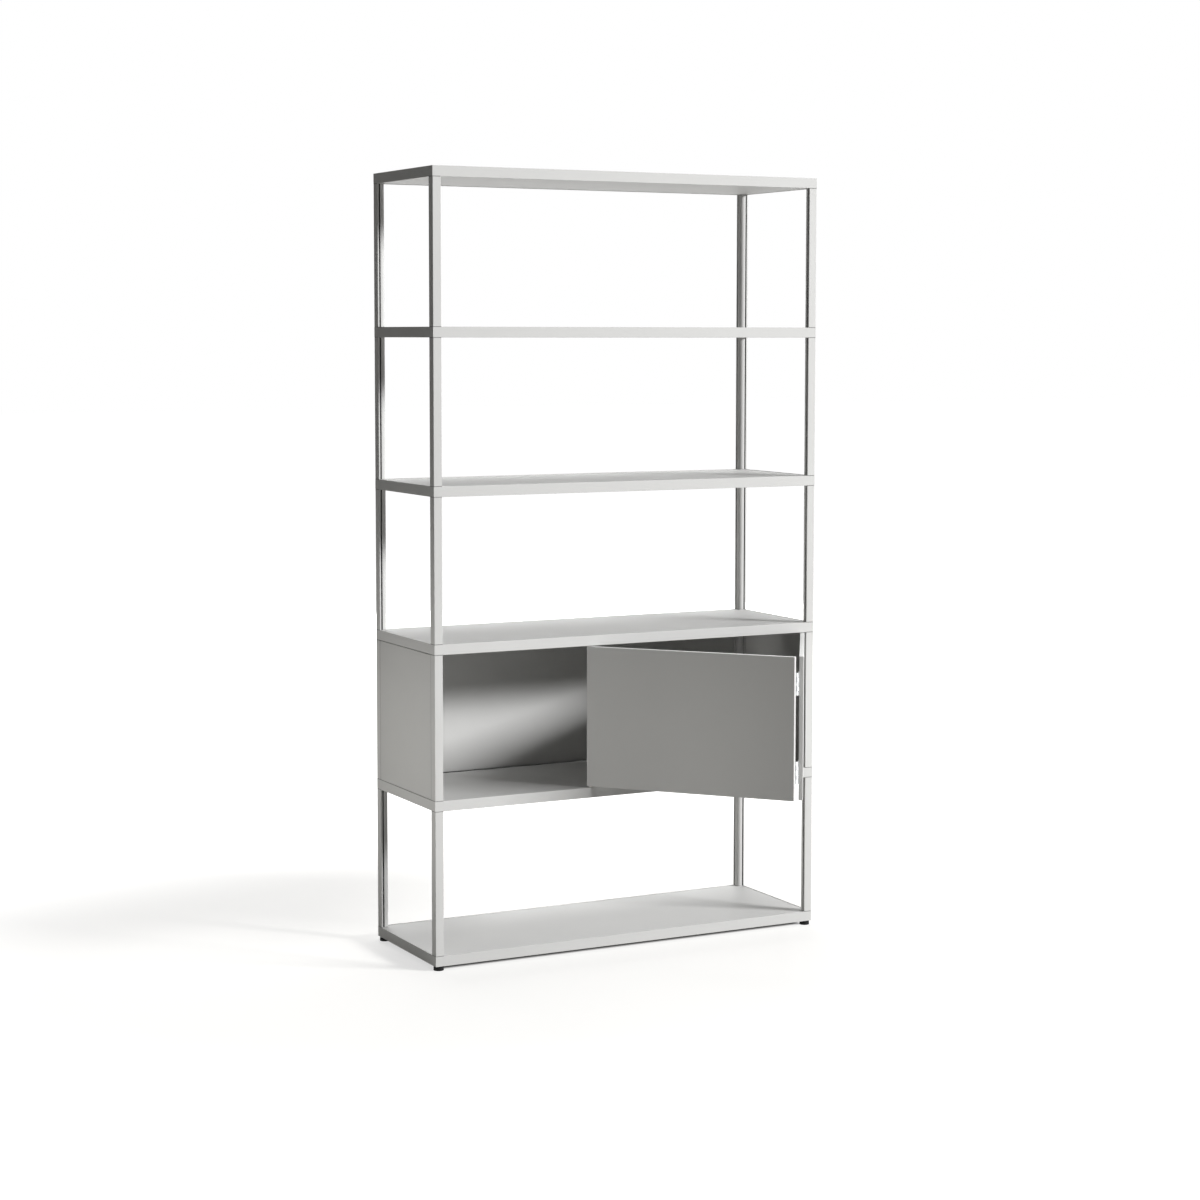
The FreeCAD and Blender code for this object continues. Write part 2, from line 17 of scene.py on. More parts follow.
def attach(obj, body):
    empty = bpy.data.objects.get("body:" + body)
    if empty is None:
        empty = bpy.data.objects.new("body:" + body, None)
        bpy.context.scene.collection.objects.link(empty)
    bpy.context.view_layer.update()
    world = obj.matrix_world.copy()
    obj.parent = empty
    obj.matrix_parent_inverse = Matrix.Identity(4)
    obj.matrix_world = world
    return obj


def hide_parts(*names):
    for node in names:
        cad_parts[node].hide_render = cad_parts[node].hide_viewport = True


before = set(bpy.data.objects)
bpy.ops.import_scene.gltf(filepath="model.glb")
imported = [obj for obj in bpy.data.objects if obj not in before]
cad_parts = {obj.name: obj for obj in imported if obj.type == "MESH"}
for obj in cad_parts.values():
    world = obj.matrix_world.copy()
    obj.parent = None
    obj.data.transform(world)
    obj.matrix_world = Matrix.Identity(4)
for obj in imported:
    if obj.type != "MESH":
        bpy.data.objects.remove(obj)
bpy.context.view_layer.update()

log = logging.getLogger("shelving_unit")
Socket = bpy.types.NodeSocket
MILLIMETRE = 0.001
SMOOTH_LIMIT = 32.0
HARD_EDGE = 1.001
NOISE_RANGE = (0.3, 0.7)
SOCKET_KINDS = {1: "NodeSocketFloat", 3: "NodeSocketVector", 4: "NodeSocketColor"}


def mm(length: float) -> float:
    """A length given in millimetres, as metres."""
    return length * MILLIMETRE


def in_scene(name: str, data: bpy.types.ID) -> bpy.types.Object:
    """New object that shows a mesh, a lamp or a camera in the scene."""
    made = bpy.data.objects.new(name, data)
    bpy.context.scene.collection.objects.link(made)
    return made


class Slot(Enum):
    """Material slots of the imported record."""

    SHEET = "sheet_coat"
    FRAME = "frame_coat"
    ZINC = "zinc_steel"
    PAD = "foot_plastic"
    NYLON = "nylon"
    MAGNET = "magnet"


class Body(Enum):
    """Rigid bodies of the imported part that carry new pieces, besides the four feet."""

    FRAME = "frame"
    HINGE_LEAF = "hinge_leaf"
    LEAD_LEAF = "lead_leaf"


# Surfaces
@dataclass
class Surface:
    """Points and faces of one or more closed skins."""

    points: np.ndarray
    faces: list[list[int]]

    def __add__(self, other: "Surface") -> "Surface":
        """Both skins in one surface; the second one's face indices move up by the first's points."""
        shift = len(self.points)
        moved = [[index + shift for index in face] for face in other.faces]
        return Surface(np.vstack([self.points, other.points]), self.faces + moved)

    def placed(self, matrix: Matrix) -> "Surface":
        """Every point times the matrix; a matrix that mirrors also turns the faces round."""
        turn = np.array(matrix.to_3x3())
        points = self.points @ turn.T + np.array(matrix.translation)
        faces = [face[::-1] for face in self.faces] if np.linalg.det(turn) < 0 else self.faces
        return Surface(points, faces)

    def shifted(self, x: float = 0.0, y: float = 0.0, z: float = 0.0) -> "Surface":
        """The same skin moved along the axes."""
        return self.placed(Matrix.Translation((x, y, z)))

    def mirrored(self, x: bool = False, y: bool = False) -> "Surface":
        """Mirror image across the middle plane, left to right, front to back or both."""
        return self.placed(Matrix.Diagonal((-1 if x else 1, -1 if y else 1, 1, 1)))

    def at_four_corners(self) -> "Surface":
        """The skin and its images in the other three corners of the unit."""
        pair = self + self.mirrored(x=True)
        return pair + pair.mirrored(y=True)


def grid_faces(rows: int, columns: int, wrap_rows: bool = False) -> list[list[int]]:
    """Quads of a grid of points whose columns close on themselves.

    Args:
        rows: Number of rings.
        columns: Points in each ring.
        wrap_rows: Whether the last ring joins the first.

    Returns:
        Faces whose outside is to the left of growing columns when rows grow upwards.
    """
    row, column = np.meshgrid(np.arange(rows if wrap_rows else rows - 1), np.arange(columns), indexing="ij")
    above, beside = (row + 1) % rows, (column + 1) % columns
    corners = (row * columns + column, row * columns + beside, above * columns + beside, above * columns + column)
    return np.stack(corners, axis=-1).reshape(-1, 4).tolist()


def capped_faces(rows: int, columns: int) -> list[list[int]]:
    """Faces of a stack of rings with a flat cap at each end."""
    top = (rows - 1) * columns
    return grid_faces(rows, columns) + [list(range(columns))[::-1], list(range(top, top + columns))]


def rounded_outline(corners: Sequence[Sequence[float]], radii: Sequence[float] | float, steps: int = 5) -> np.ndarray:
    """Outline with an arc at each corner.

    An arc's centre lies on the corner's bisector, at the radius over the sine of the half angle,
    and its points turn evenly from one touching side to the other.

    Args:
        corners: Corners in anticlockwise order.
        radii: One radius for each corner, or one for all.
        steps: Points on each arc.

    Returns:
        Array of points with two columns, in the same order.
    """
    spots = np.asarray(corners, float)
    sizes = np.broadcast_to(np.asarray(radii, float), len(spots))
    before = np.roll(spots, 1, axis=0) - spots
    after = np.roll(spots, -1, axis=0) - spots
    before /= np.linalg.norm(before, axis=1, keepdims=True)
    after /= np.linalg.norm(after, axis=1, keepdims=True)
    half = np.arccos(np.clip((before * after).sum(1), -1, 1)) / 2
    middle = (before + after) / np.linalg.norm(before + after, axis=1, keepdims=True)
    centres = spots + middle * (sizes / np.sin(half))[:, None]
    turn = np.sign(before[:, 0] * after[:, 1] - before[:, 1] * after[:, 0])
    facing = np.arctan2(-middle[:, 1], -middle[:, 0])
    sweep = np.linspace(-1, 1, steps)[None, :] * (math.pi / 2 - half)[:, None] * -turn[:, None]
    angle = facing[:, None] + sweep
    arcs = centres[:, None, :] + sizes[:, None, None] * np.stack([np.cos(angle), np.sin(angle)], axis=-1)
    return arcs.reshape(-1, 2)


def inset(outline: np.ndarray, distance: float) -> np.ndarray:
    """Outline moved inwards: each point goes along the sum of its sides' normals, over one plus their product."""
    side = np.roll(outline, -1, axis=0) - outline
    normal = np.stack([-side[:, 1], side[:, 0]], axis=1)
    normal /= np.linalg.norm(normal, axis=1, keepdims=True)
    last = np.roll(normal, 1, axis=0)
    return outline + distance * (normal + last) / (1 + (normal * last).sum(1))[:, None]


def stacked(outline: np.ndarray, levels: Sequence[tuple[float, float]]) -> Surface:
    """Closed solid of one outline at several heights.

    Args:
        outline: Anticlockwise outline seen from above.
        levels: Pairs of inset and height, from the lowest to the highest.

    Returns:
        Rings of the inset outline joined by quads, with a flat cap at each end.
    """
    rings = [np.column_stack([inset(outline, depth), np.full(len(outline), height)]) for depth, height in levels]
    return Surface(np.vstack(rings), capped_faces(len(rings), len(outline)))


def eased(low: float, high: float, edge: float, steps: int = 3) -> list[tuple[float, float]]:
    """Levels of a slab whose top and bottom edges are quarter rounds of a radius."""
    angle = np.linspace(0, math.pi / 2, steps)
    depth, rise = edge * (1 - np.sin(angle)), edge * (1 - np.cos(angle))
    lower = list(zip(depth, low + rise))
    upper = list(zip(depth[::-1], high - rise[::-1]))
    return lower + upper


def rings_about_axis(profile: np.ndarray, segments: int) -> np.ndarray:
    """Points of a profile of radius and height at even angles round the upright axis, ring by ring."""
    angle = np.linspace(0, 2 * math.pi, segments, endpoint=False)
    return np.stack([profile[:, :1] * np.cos(angle), profile[:, :1] * np.sin(angle),
                     np.broadcast_to(profile[:, 1:], (len(profile), segments))], axis=-1).reshape(-1, 3)


def turned(profile: Sequence[tuple[float, float]], segments: int = 40) -> Surface:
    """Solid of revolution about the upright axis.

    Args:
        profile: Pairs of radius and height, from the lower pole at radius 0 to the upper one.
        segments: Points round the axis.

    Returns:
        Rings at radius times cosine and sine of the angle, closed by a fan at each pole.
    """
    shape = np.asarray(profile, float)
    ring = shape[1:-1]
    points = rings_about_axis(ring, segments)
    poles = np.array([[0, 0, shape[0, 1]], [0, 0, shape[-1, 1]]])
    low, high, last = len(points), len(points) + 1, (len(ring) - 1) * segments
    spot = np.arange(segments)
    beside = (spot + 1) % segments
    bottom = np.stack([np.full(segments, low), beside, spot], axis=1).tolist()
    top = np.stack([np.full(segments, high), last + spot, last + beside], axis=1).tolist()
    return Surface(np.vstack([points, poles]), grid_faces(len(ring), segments) + bottom + top)


def sleeve(profile: Sequence[tuple[float, float]], segments: int) -> Surface:
    """Ring of revolution about the upright axis, from a closed profile of radius and height.

    The profile runs up the outside and down the inside.
    """
    shape = np.asarray(profile, float)
    return Surface(rings_about_axis(shape, segments), grid_faces(len(shape), segments, wrap_rows=True))


def chamfered_rod(radius: float, low: float, high: float, edge: float) -> Surface:
    """Upright rod with a small bevel at each end."""
    return turned([(0, low), (radius - edge, low), (radius, low + edge),
                   (radius, high - edge), (radius - edge, high), (0, high)])


def threaded_rod(radius: float, low: float, high: float, pitch: float, depth: float) -> Surface:
    """Upright screw whose radius falls by a triangle wave of height over pitch minus turn.

    Args:
        radius: Radius over the crests.
        low: Height of the lower end.
        high: Height of the upper end.
        pitch: Rise of one turn.
        depth: Depth of the thread, which runs out over half a pitch at each end.

    Returns:
        Closed surface on a grid of angle and height.
    """
    segments, per_pitch = 32, 8
    rows = int((high - low) / pitch * per_pitch) + 1
    angle = np.linspace(0, 2 * math.pi, segments, endpoint=False)[None, :]
    height = np.linspace(low, high, rows)[:, None]
    phase = (height / pitch - angle / (2 * math.pi)) % 1.0
    fade = np.clip(np.minimum(height - low, high - height) / (pitch / 2), 0, 1)
    reach = radius - depth * (1 - np.abs(2 * phase - 1) * fade)
    points = np.stack([reach * np.cos(angle), reach * np.sin(angle), np.broadcast_to(height, reach.shape)], axis=-1)
    return Surface(points.reshape(-1, 3), capped_faces(rows, segments))


def turn_about(x: float, y: float, angle: float) -> Matrix:
    """Turn about the upright line through a point in plan, by an angle in degrees."""
    there = Matrix.Translation((x, y, 0))
    return there @ Matrix.Rotation(math.radians(angle), 4, "Z") @ there.inverted()


def quarter_turn() -> Matrix:
    """Turns a front, which looks along -Y, to a right side, which looks along +X."""
    return Matrix.Rotation(math.radians(90), 4, "Z")


def lying_along_x() -> Matrix:
    """Carries an upright sweep to one along +X whose outline's first axis is +Y and second +Z."""
    return Matrix(((0, 0, 1, 0), (1, 0, 0, 0), (0, 1, 0, 0), (0, 0, 0, 1)))


def standing_sheet() -> Matrix:
    """Carries a flat slab to an upright one: its width stays along X, its length goes up, its top faces -Y."""
    return Matrix(((1, 0, 0, 0), (0, 0, -1, 0), (0, 1, 0, 0), (0, 0, 0, 1)))


# Node tools
class NodeTree:
    """Short calls for adding nodes to one tree and linking them."""

    def __init__(self, tree: bpy.types.NodeTree) -> None:
        """Keeps the tree."""
        self.tree = tree

    def add(self, kind: str, settings: dict[str, object] | None = None, **inputs: object) -> bpy.types.Node:
        """Adds a node, sets its properties and its inputs.

        Args:
            kind: Node type without the ShaderNode prefix, or a full type name.
            settings: Properties of the node by name.
            **inputs: Input sockets by name, with _ for a space, each a value or a socket to link.

        Returns:
            The new node.
        """
        name = kind if kind.startswith("Node") else f"ShaderNode{kind}"
        made = self.tree.nodes.new(name)
        for key, value in (settings or {}).items():
            setattr(made, key, value)
        for key, value in inputs.items():
            self.feed(made.inputs[key.replace("_", " ")], value)
        return made

    def feed(self, socket: Socket, value: object) -> None:
        """Links a socket to an input, or sets the input's own value."""
        if isinstance(value, Socket):
            self.tree.links.new(value, socket)
        elif value is not None:
            socket.default_value = value

    def maths(self, operation: str, first: object, second: object = None) -> Socket:
        """Result of a Math node on one or two values."""
        made = self.add("Math", {"operation": operation})
        self.feed(made.inputs[0], first)
        self.feed(made.inputs[1], second)
        return made.outputs[0]

    def product(self, first: object, *others: object) -> Socket:
        """Product of two or more values."""
        for other in others:
            first = self.maths("MULTIPLY", first, other)
        return first

    def larger(self, first: object, second: object) -> Socket:
        """The larger of two values."""
        return self.maths("MAXIMUM", first, second)

    def over(self, value: Socket, limit: float) -> Socket:
        """One where a value is over a limit, and zero elsewhere."""
        return self.maths("GREATER_THAN", value, limit)

    def upward(self, normal: str) -> Socket:
        """How far a face looks up, from -1 to 1, by an output of the Geometry node."""
        return self.add("SeparateXYZ", Vector=self.add("NewGeometry").outputs[normal]).outputs["Z"]

    def noise(self, where: Socket, scale: object, detail: float = 2.0, roughness: float = 0.5) -> Socket:
        """Noise value at a place."""
        return self.add("TexNoise", Vector=where, Scale=scale, Detail=detail, Roughness=roughness).outputs["Fac"]

    def remap(self, value: object, low: object, high: object, start: object = 0.0, end: object = 1.0) -> Socket:
        """Value carried from start..end to low..high and held there."""
        return self.add("MapRange", Value=value, From_Min=start, From_Max=end, To_Min=low, To_Max=high).outputs[0]

    def folded(self, where: Socket) -> tuple[Socket, Socket, Socket]:
        """Distances of a place from both middle planes, and its height."""
        parts = self.add("SeparateXYZ", Vector=where).outputs
        return self.maths("ABSOLUTE", parts["X"]), self.maths("ABSOLUTE", parts["Y"]), parts["Z"]

    def within(self, value: Socket, middle: float, reach: float) -> Socket:
        """One where a value is within a reach of the middle, and zero elsewhere."""
        away = self.maths("ABSOLUTE", self.maths("SUBTRACT", value, middle))
        return self.remap(away, 1.0, 0.0, reach, reach * HARD_EDGE)

    def mix_colour(self, share: object, first: object, second: object) -> Socket:
        """Mix of two colours by a share."""
        made = self.add("Mix", {"data_type": "RGBA"})
        for index, value in ((0, share), (6, first), (7, second)):
            self.feed(made.inputs[index], value)
        return made.outputs[2]


class Effect(Enum):
    """Shader groups that several finishes share."""

    ORANGE_PEEL = "orange_peel"
    TONE_DRIFT = "tone_drift"
    SETTLED_DUST = "settled_dust"
    DRAWN_GRAIN = "drawn_grain"
    # Painted shade in the posts' grooves and in the hairline joints.
    GROOVE_SHADE = "groove_shade"
    SEAM_SHADE = "seam_shade"
    # Painted highlight along the top hems of the door's leaves.
    PAINTED_HEM_HIGHLIGHT = "painted_hem_highlight"


@dataclass
class EffectShelf:
    """Builds each shared effect once, as a group with one output."""

    layout: "Layout"
    groove_slack: float = mm(0.06)
    groove_lip: float = mm(0.45)
    seam_reach: float = mm(1.1)
    upright_seam_reach: float = mm(0.9)
    upright_seam_share: float = 0.38
    closed_bay_margin: float = mm(1)
    flat_face: float = 0.9
    cloud_share: float = 0.6
    fleck_share: float = 0.4
    speck_scale: float = 2600.0
    made: dict[Effect, bpy.types.NodeTree] = field(default_factory=dict)

    def begin(self, effect: Effect, output: str = "Mask",
              **inputs: object) -> tuple[NodeTree, bpy.types.NodeOutputs, Socket]:
        """Starts a group with a Vector input and one output.

        Args:
            effect: The effect that the group makes.
            output: Name of its output: Color for a colour, any other for a number.
            **inputs: Default by input name: four numbers for a colour, three for a vector, one for a number.

        Returns:
            Tools on the group's tree, its inputs by name and the socket that takes its result.
        """
        tree = bpy.data.node_groups.new(effect.value, "ShaderNodeTree")
        new_socket = tree.interface.new_socket
        new_socket(name="Vector", in_out="INPUT", socket_type=SOCKET_KINDS[3])
        for name, value in inputs.items():
            kind = SOCKET_KINDS[len(value) if isinstance(value, tuple) else 1]
            new_socket(name=name, in_out="INPUT", socket_type=kind).default_value = value
        new_socket(name=output, in_out="OUTPUT", socket_type=SOCKET_KINDS[4 if output == "Color" else 1])
        self.made[effect] = tree
        tools = NodeTree(tree)
        return tools, tools.add("NodeGroupInput").outputs, tools.add("NodeGroupOutput").inputs[output]

    def build(self) -> None:
        """Makes every effect."""
        self.build_orange_peel()
        self.build_tone_drift()
        self.build_settled_dust()
        self.build_drawn_grain()
        self.build_groove_shade()
        self.build_seam_shade()
        self.build_painted_hem_highlight()

    def build_orange_peel(self) -> None:
        """Height of a sprayed coat: slow ripples under a fine pebble."""
        tools, given, height = self.begin(Effect.ORANGE_PEEL, "Height", Ripple=420.0, Pebble=1900.0, Share=0.35)
        ripple = tools.noise(given["Vector"], given["Ripple"], detail=1.0, roughness=0.4)
        pebble = tools.noise(given["Vector"], given["Pebble"], detail=3.0, roughness=0.6)
        tools.feed(height, tools.maths("ADD", ripple, tools.product(pebble, given["Share"])))

    def build_tone_drift(self) -> None:
        """Colour that drifts a little over a surface, in large clouds and small flecks."""
        tools, given, colour = self.begin(Effect.TONE_DRIFT, "Color", Color=(0.5, 0.5, 0.5, 1),
                                          Cloud=4.0, Fleck=800.0, Spread=0.03)
        cloud = tools.noise(given["Vector"], given["Cloud"], detail=3.0)
        fleck = tools.noise(given["Vector"], given["Fleck"])
        drift = tools.maths("ADD", tools.product(cloud, self.cloud_share), tools.product(fleck, self.fleck_share))
        dim, bright = (tools.maths(way, 1.0, given["Spread"]) for way in ("SUBTRACT", "ADD"))
        gain = tools.remap(drift, dim, bright, *NOISE_RANGE)
        tools.feed(colour, tools.add("HueSaturation", Color=given["Color"], Value=gain).outputs["Color"])

    def build_settled_dust(self) -> None:
        """Mask of fine dust on faces that look up, in soft patches."""
        tools, given, mask = self.begin(Effect.SETTLED_DUST, Patch=9.0, Amount=0.1)
        upward = tools.remap(tools.upward("Normal"), 0.0, 1.0, 0.6, 1.0)
        patches = tools.noise(given["Vector"], given["Patch"], detail=6.0, roughness=0.65)
        specks = tools.noise(given["Vector"], self.speck_scale, detail=1.0)
        patch = tools.remap(patches, 0.2, 1.0, 0.35, 0.7)
        speck = tools.remap(specks, 0.5, 1.0, 0.4, 0.6)
        tools.feed(mask, tools.product(upward, patch, speck, given["Amount"]))

    def build_drawn_grain(self) -> None:
        """Fine lines of drawn or rolled metal, by noise on a stretched place."""
        tools, given, height = self.begin(Effect.DRAWN_GRAIN, "Height", Stretch=(1, 1, 0.03), Scale=2500.0)
        place = tools.add("VectorMath", {"operation": "MULTIPLY"})
        tools.feed(place.inputs[0], given["Vector"])
        tools.feed(place.inputs[1], given["Stretch"])
        tools.feed(height, tools.noise(place.outputs[0], given["Scale"], detail=3.0, roughness=0.6))

    def build_groove_shade(self) -> None:
        """Mask of the panel grooves in the corner posts, where shade is painted into the coat's colour because little
        light gets in.
        """
        tools, given, mask = self.begin(Effect.GROOVE_SHADE)
        lay = self.layout
        across, along, _ = tools.folded(given["Vector"])
        wall = lay.groove_width / 2 + self.groove_slack
        reach = (lay.groove_depth - self.groove_lip) / 2 + self.groove_slack
        middle = lay.flange + lay.groove_width / 2
        side, back = (tools.product(tools.within(outward, size / 2 - middle, wall),
                                    tools.within(inward, other / 2 - leg + self.groove_lip + reach, reach))
                      for outward, size, inward, other, leg in (
                          (across, lay.width, along, lay.depth, lay.leg_along_depth),
                          (along, lay.depth, across, lay.width, lay.leg_along_width)))
        tools.feed(mask, tools.larger(side, back))

    def build_seam_shade(self) -> None:
        """Mask of the hairline joints between posts, panels and shelf frames, where shade is painted into the coat's
        colour.

        Level joints repeat with the shelves' pitch and fade with the distance in height. Upright ones
        are only beside the panels of the closed bay. Faces that look up or down get neither.
        """
        tools, given, mask = self.begin(Effect.SEAM_SHADE, Reach=self.seam_reach)
        lay = self.layout
        right, rear = -lay.left, -lay.front
        across, along, height = tools.folded(given["Vector"])
        toward_rear = tools.add("SeparateXYZ", Vector=given["Vector"]).outputs["Y"]
        at_side = tools.over(across, right - lay.rim)

        phase = tools.maths("FLOORED_MODULO", tools.maths("SUBTRACT", height, lay.foot_height), lay.pitch)
        under = tools.maths("MINIMUM", phase, tools.maths("SUBTRACT", lay.pitch, phase))
        above = tools.maths("ABSOLUTE", tools.maths("SUBTRACT", phase, lay.shelf_height))
        near = tools.remap(tools.maths("MINIMUM", under, above), 1.0, 0.0, 0.0, given["Reach"])

        middle, reach = (lay.level(1) + lay.level(lay.bays + 1) + lay.shelf_height) / 2, lay.pitch * lay.bays / 2
        corner = tools.product(tools.over(across, right - lay.leg_along_width),
                               tools.over(along, rear - lay.leg_along_depth), tools.within(height, middle, reach))
        closed = tools.within(height, (lay.cabinet_floor + lay.cabinet_roof) / 2,
                              (lay.cabinet_roof - lay.cabinet_floor) / 2 + self.closed_bay_margin)
        front = tools.maths("LESS_THAN", toward_rear, lay.leg_along_depth - rear)
        panels = tools.product(tools.larger(at_side, tools.over(along, rear - lay.rim)), closed,
                               tools.maths("SUBTRACT", 1.0, front))
        level = tools.product(near, tools.larger(corner, panels))

        beside = tools.product(tools.within(along, rear - lay.leg_along_depth, self.upright_seam_reach), at_side)
        behind = tools.product(tools.within(across, right - lay.leg_along_width, self.upright_seam_reach),
                               tools.over(toward_rear, rear - lay.rim))
        upright = tools.product(tools.larger(beside, behind), closed, self.upright_seam_share)
        standing = tools.maths("LESS_THAN", tools.maths("ABSOLUTE", tools.upward("True Normal")), self.flat_face)
        tools.feed(mask, tools.product(tools.larger(level, upright), standing))

    def build_painted_hem_highlight(self) -> None:
        """Mask of the top hems of the door's leaves, strongest where they look up, for a painted highlight along
        them.
        """
        tools, given, mask = self.begin(Effect.PAINTED_HEM_HIGHLIGHT)
        height = tools.add("SeparateXYZ", Vector=given["Vector"]).outputs["Z"]
        hem = tools.within(height, self.layout.cabinet_roof - self.layout.door_gap, self.layout.hem)
        tools.feed(mask, tools.product(hem, tools.remap(tools.upward("Normal"), 0.0, 1.0, 0.35, 0.6)))


# Finishes
class Finish:
    """A new material read at the object's own coordinates, with short calls for its effects and shader."""

    def __init__(self, name: str, effects: EffectShelf) -> None:
        """Makes the material and finds its principled shader."""
        self.made = bpy.data.materials.new(name)
        self.made.use_nodes = True
        self.effects = effects
        self.tools = NodeTree(self.made.node_tree)
        self.shader = next(node for node in self.made.node_tree.nodes if node.type == "BSDF_PRINCIPLED")
        self.where = self.tools.add("TexCoord").outputs["Object"]

    def effect(self, effect: Effect, **inputs: object) -> Socket:
        """Output of a shared effect that has its own values here."""
        group = {"node_tree": self.effects.made[effect]}
        return self.tools.add("Group", group, Vector=self.where, **inputs).outputs[0]

    def close(self, colour: Socket, roughness: Socket, relief: Socket, strength: float, depth: float,
              **fixed: float) -> bpy.types.Material:
        """Feeds the shader.

        Args:
            colour: Base colour.
            roughness: Roughness.
            relief: Height of the fine relief.
            strength: Strength of the relief.
            depth: Distance from its lowest to its highest point.
            **fixed: Values of the shader's own sockets, by name with _ for a space.

        Returns:
            The finished material.
        """
        bump = self.tools.add("Bump", Strength=strength, Distance=depth, Height=relief)
        sockets = self.shader.inputs
        for name, source in (("Base Color", colour), ("Roughness", roughness), ("Normal", bump.outputs["Normal"])):
            self.tools.feed(sockets[name], source)
        for name, value in fixed.items():
            sockets[name.replace("_", " ")].default_value = value
        return self.made


@dataclass(frozen=True)
class PowderCoat:
    """Matt sprayed coat with a fine pebble, baked on sheet or extrusion."""

    name: str
    colour: tuple[float, float, float]
    roughness: float = 0.77
    roughness_drift: float = 0.01
    patch_scale: float = 14.0
    gloss: float = 0.18
    relief: float = 0.35
    depth: float = mm(0.009)
    spread: float = 0.02
    dust: float = 0.1
    dust_roughness: float = 0.3
    # The next three set the strength of painted shade in grooves and joints and of a painted highlight on the top
    # hems.
    groove_depth: float = 0.9
    seam_depth: float = 0.92
    hem_highlight_share: float = 0.9
    dust_colour: tuple[float, float, float, float] = (0.7, 0.69, 0.66, 1)
    shade_colour: tuple[float, float, float, float] = (0.012, 0.012, 0.011, 1)
    hem_highlight_colour: tuple[float, float, float, float] = (0.93, 0.93, 0.92, 1)

    def material(self, effects: EffectShelf) -> bpy.types.Material:
        """Material of the coat."""
        coat = Finish(self.name, effects)
        tools = coat.tools
        colour = coat.effect(Effect.TONE_DRIFT, Color=(*self.colour, 1), Spread=self.spread)
        dust = coat.effect(Effect.SETTLED_DUST, Amount=self.dust)
        # Real dust, then painted shade in grooves and joints, then a painted highlight on the door's top hems.
        shade = tools.larger(tools.product(coat.effect(Effect.GROOVE_SHADE), self.groove_depth),
                             tools.product(coat.effect(Effect.SEAM_SHADE), self.seam_depth))
        hem = tools.product(coat.effect(Effect.PAINTED_HEM_HIGHLIGHT), self.hem_highlight_share)
        for share, tint in ((dust, self.dust_colour), (shade, self.shade_colour), (hem, self.hem_highlight_colour)):
            colour = tools.mix_colour(share, colour, tint)
        clouds = tools.noise(coat.where, self.patch_scale, detail=3.0)
        patch = tools.remap(clouds, self.roughness - self.roughness_drift, self.roughness + self.roughness_drift,
                            *NOISE_RANGE)
        roughness = tools.maths("ADD", patch, tools.product(dust, self.dust_roughness))
        return coat.close(colour, roughness, coat.effect(Effect.ORANGE_PEEL), self.relief, self.depth,
                          Specular_IOR_Level=self.gloss)


@dataclass(frozen=True)
class ZincPlate:
    """Bright zinc on steel, with rolled grain and a faint crystal pattern."""

    name: str
    colour: tuple[float, float, float] = (0.78, 0.79, 0.8)
    crystal_colour: tuple[float, float, float, float] = (0.6, 0.63, 0.68, 1)
    roughness: float = 0.34
    roughness_drift: tuple[float, float] = (-0.06, 0.1)

    def material(self, effects: EffectShelf) -> bpy.types.Material:
        """Material of the plate."""
        plate = Finish(self.name, effects)
        tools = plate.tools
        crystals = tools.add("TexVoronoi", Vector=plate.where, Scale=900.0).outputs["Color"]
        value = tools.add("SeparateColor", Color=crystals).outputs[0]
        tone = plate.effect(Effect.TONE_DRIFT, Color=(*self.colour, 1), Cloud=60.0, Spread=0.08)
        flake = tools.mix_colour(tools.remap(value, 0.0, 0.25), tone, self.crystal_colour)
        grain = plate.effect(Effect.DRAWN_GRAIN)
        roughness = tools.remap(grain, *(self.roughness + drift for drift in self.roughness_drift))
        return plate.close(flake, roughness, grain, strength=0.25, depth=mm(0.01), Metallic=1.0)


@dataclass(frozen=True)
class MouldedPlastic:
    """Injection-moulded plastic with a spark-eroded skin."""

    name: str
    colour: tuple[float, float, float]
    roughness: float
    roughness_drift: tuple[float, float] = (-0.05, 0.07)
    glow: float = 0.0
    dust: float = 0.05
    dust_colour: tuple[float, float, float, float] = (0.5, 0.49, 0.47, 1)
    gloss: float = 0.5

    def material(self, effects: EffectShelf) -> bpy.types.Material:
        """Material of the plastic."""
        plastic = Finish(self.name, effects)
        tools = plastic.tools
        tone = plastic.effect(Effect.TONE_DRIFT, Color=(*self.colour, 1), Cloud=90.0, Spread=0.05)
        dust = plastic.effect(Effect.SETTLED_DUST, Patch=60.0, Amount=self.dust)
        relief = plastic.effect(Effect.ORANGE_PEEL, Ripple=1500.0, Pebble=5000.0)
        roughness = tools.remap(relief, *(self.roughness + drift for drift in self.roughness_drift))
        return plastic.close(tools.mix_colour(dust, tone, self.dust_colour), roughness, relief,
                             strength=0.4, depth=mm(0.015), Specular_IOR_Level=self.gloss,
                             Subsurface_Weight=self.glow, Subsurface_Scale=mm(1))


@dataclass(frozen=True)
class SinteredMagnet:
    """Dark pressed magnet with a grainy skin."""

    name: str
    colour: tuple[float, float, float] = (0.05, 0.05, 0.055)

    def material(self, effects: EffectShelf) -> bpy.types.Material:
        """Material of the magnet."""
        magnet = Finish(self.name, effects)
        tone = magnet.effect(Effect.TONE_DRIFT, Color=(*self.colour, 1), Cloud=200.0, Spread=0.2)
        relief = magnet.effect(Effect.ORANGE_PEEL, Ripple=2500.0)
        return magnet.close(tone, magnet.tools.remap(relief, 0.5, 0.7), relief, strength=0.5, depth=mm(0.02),
                            Metallic=0.6)


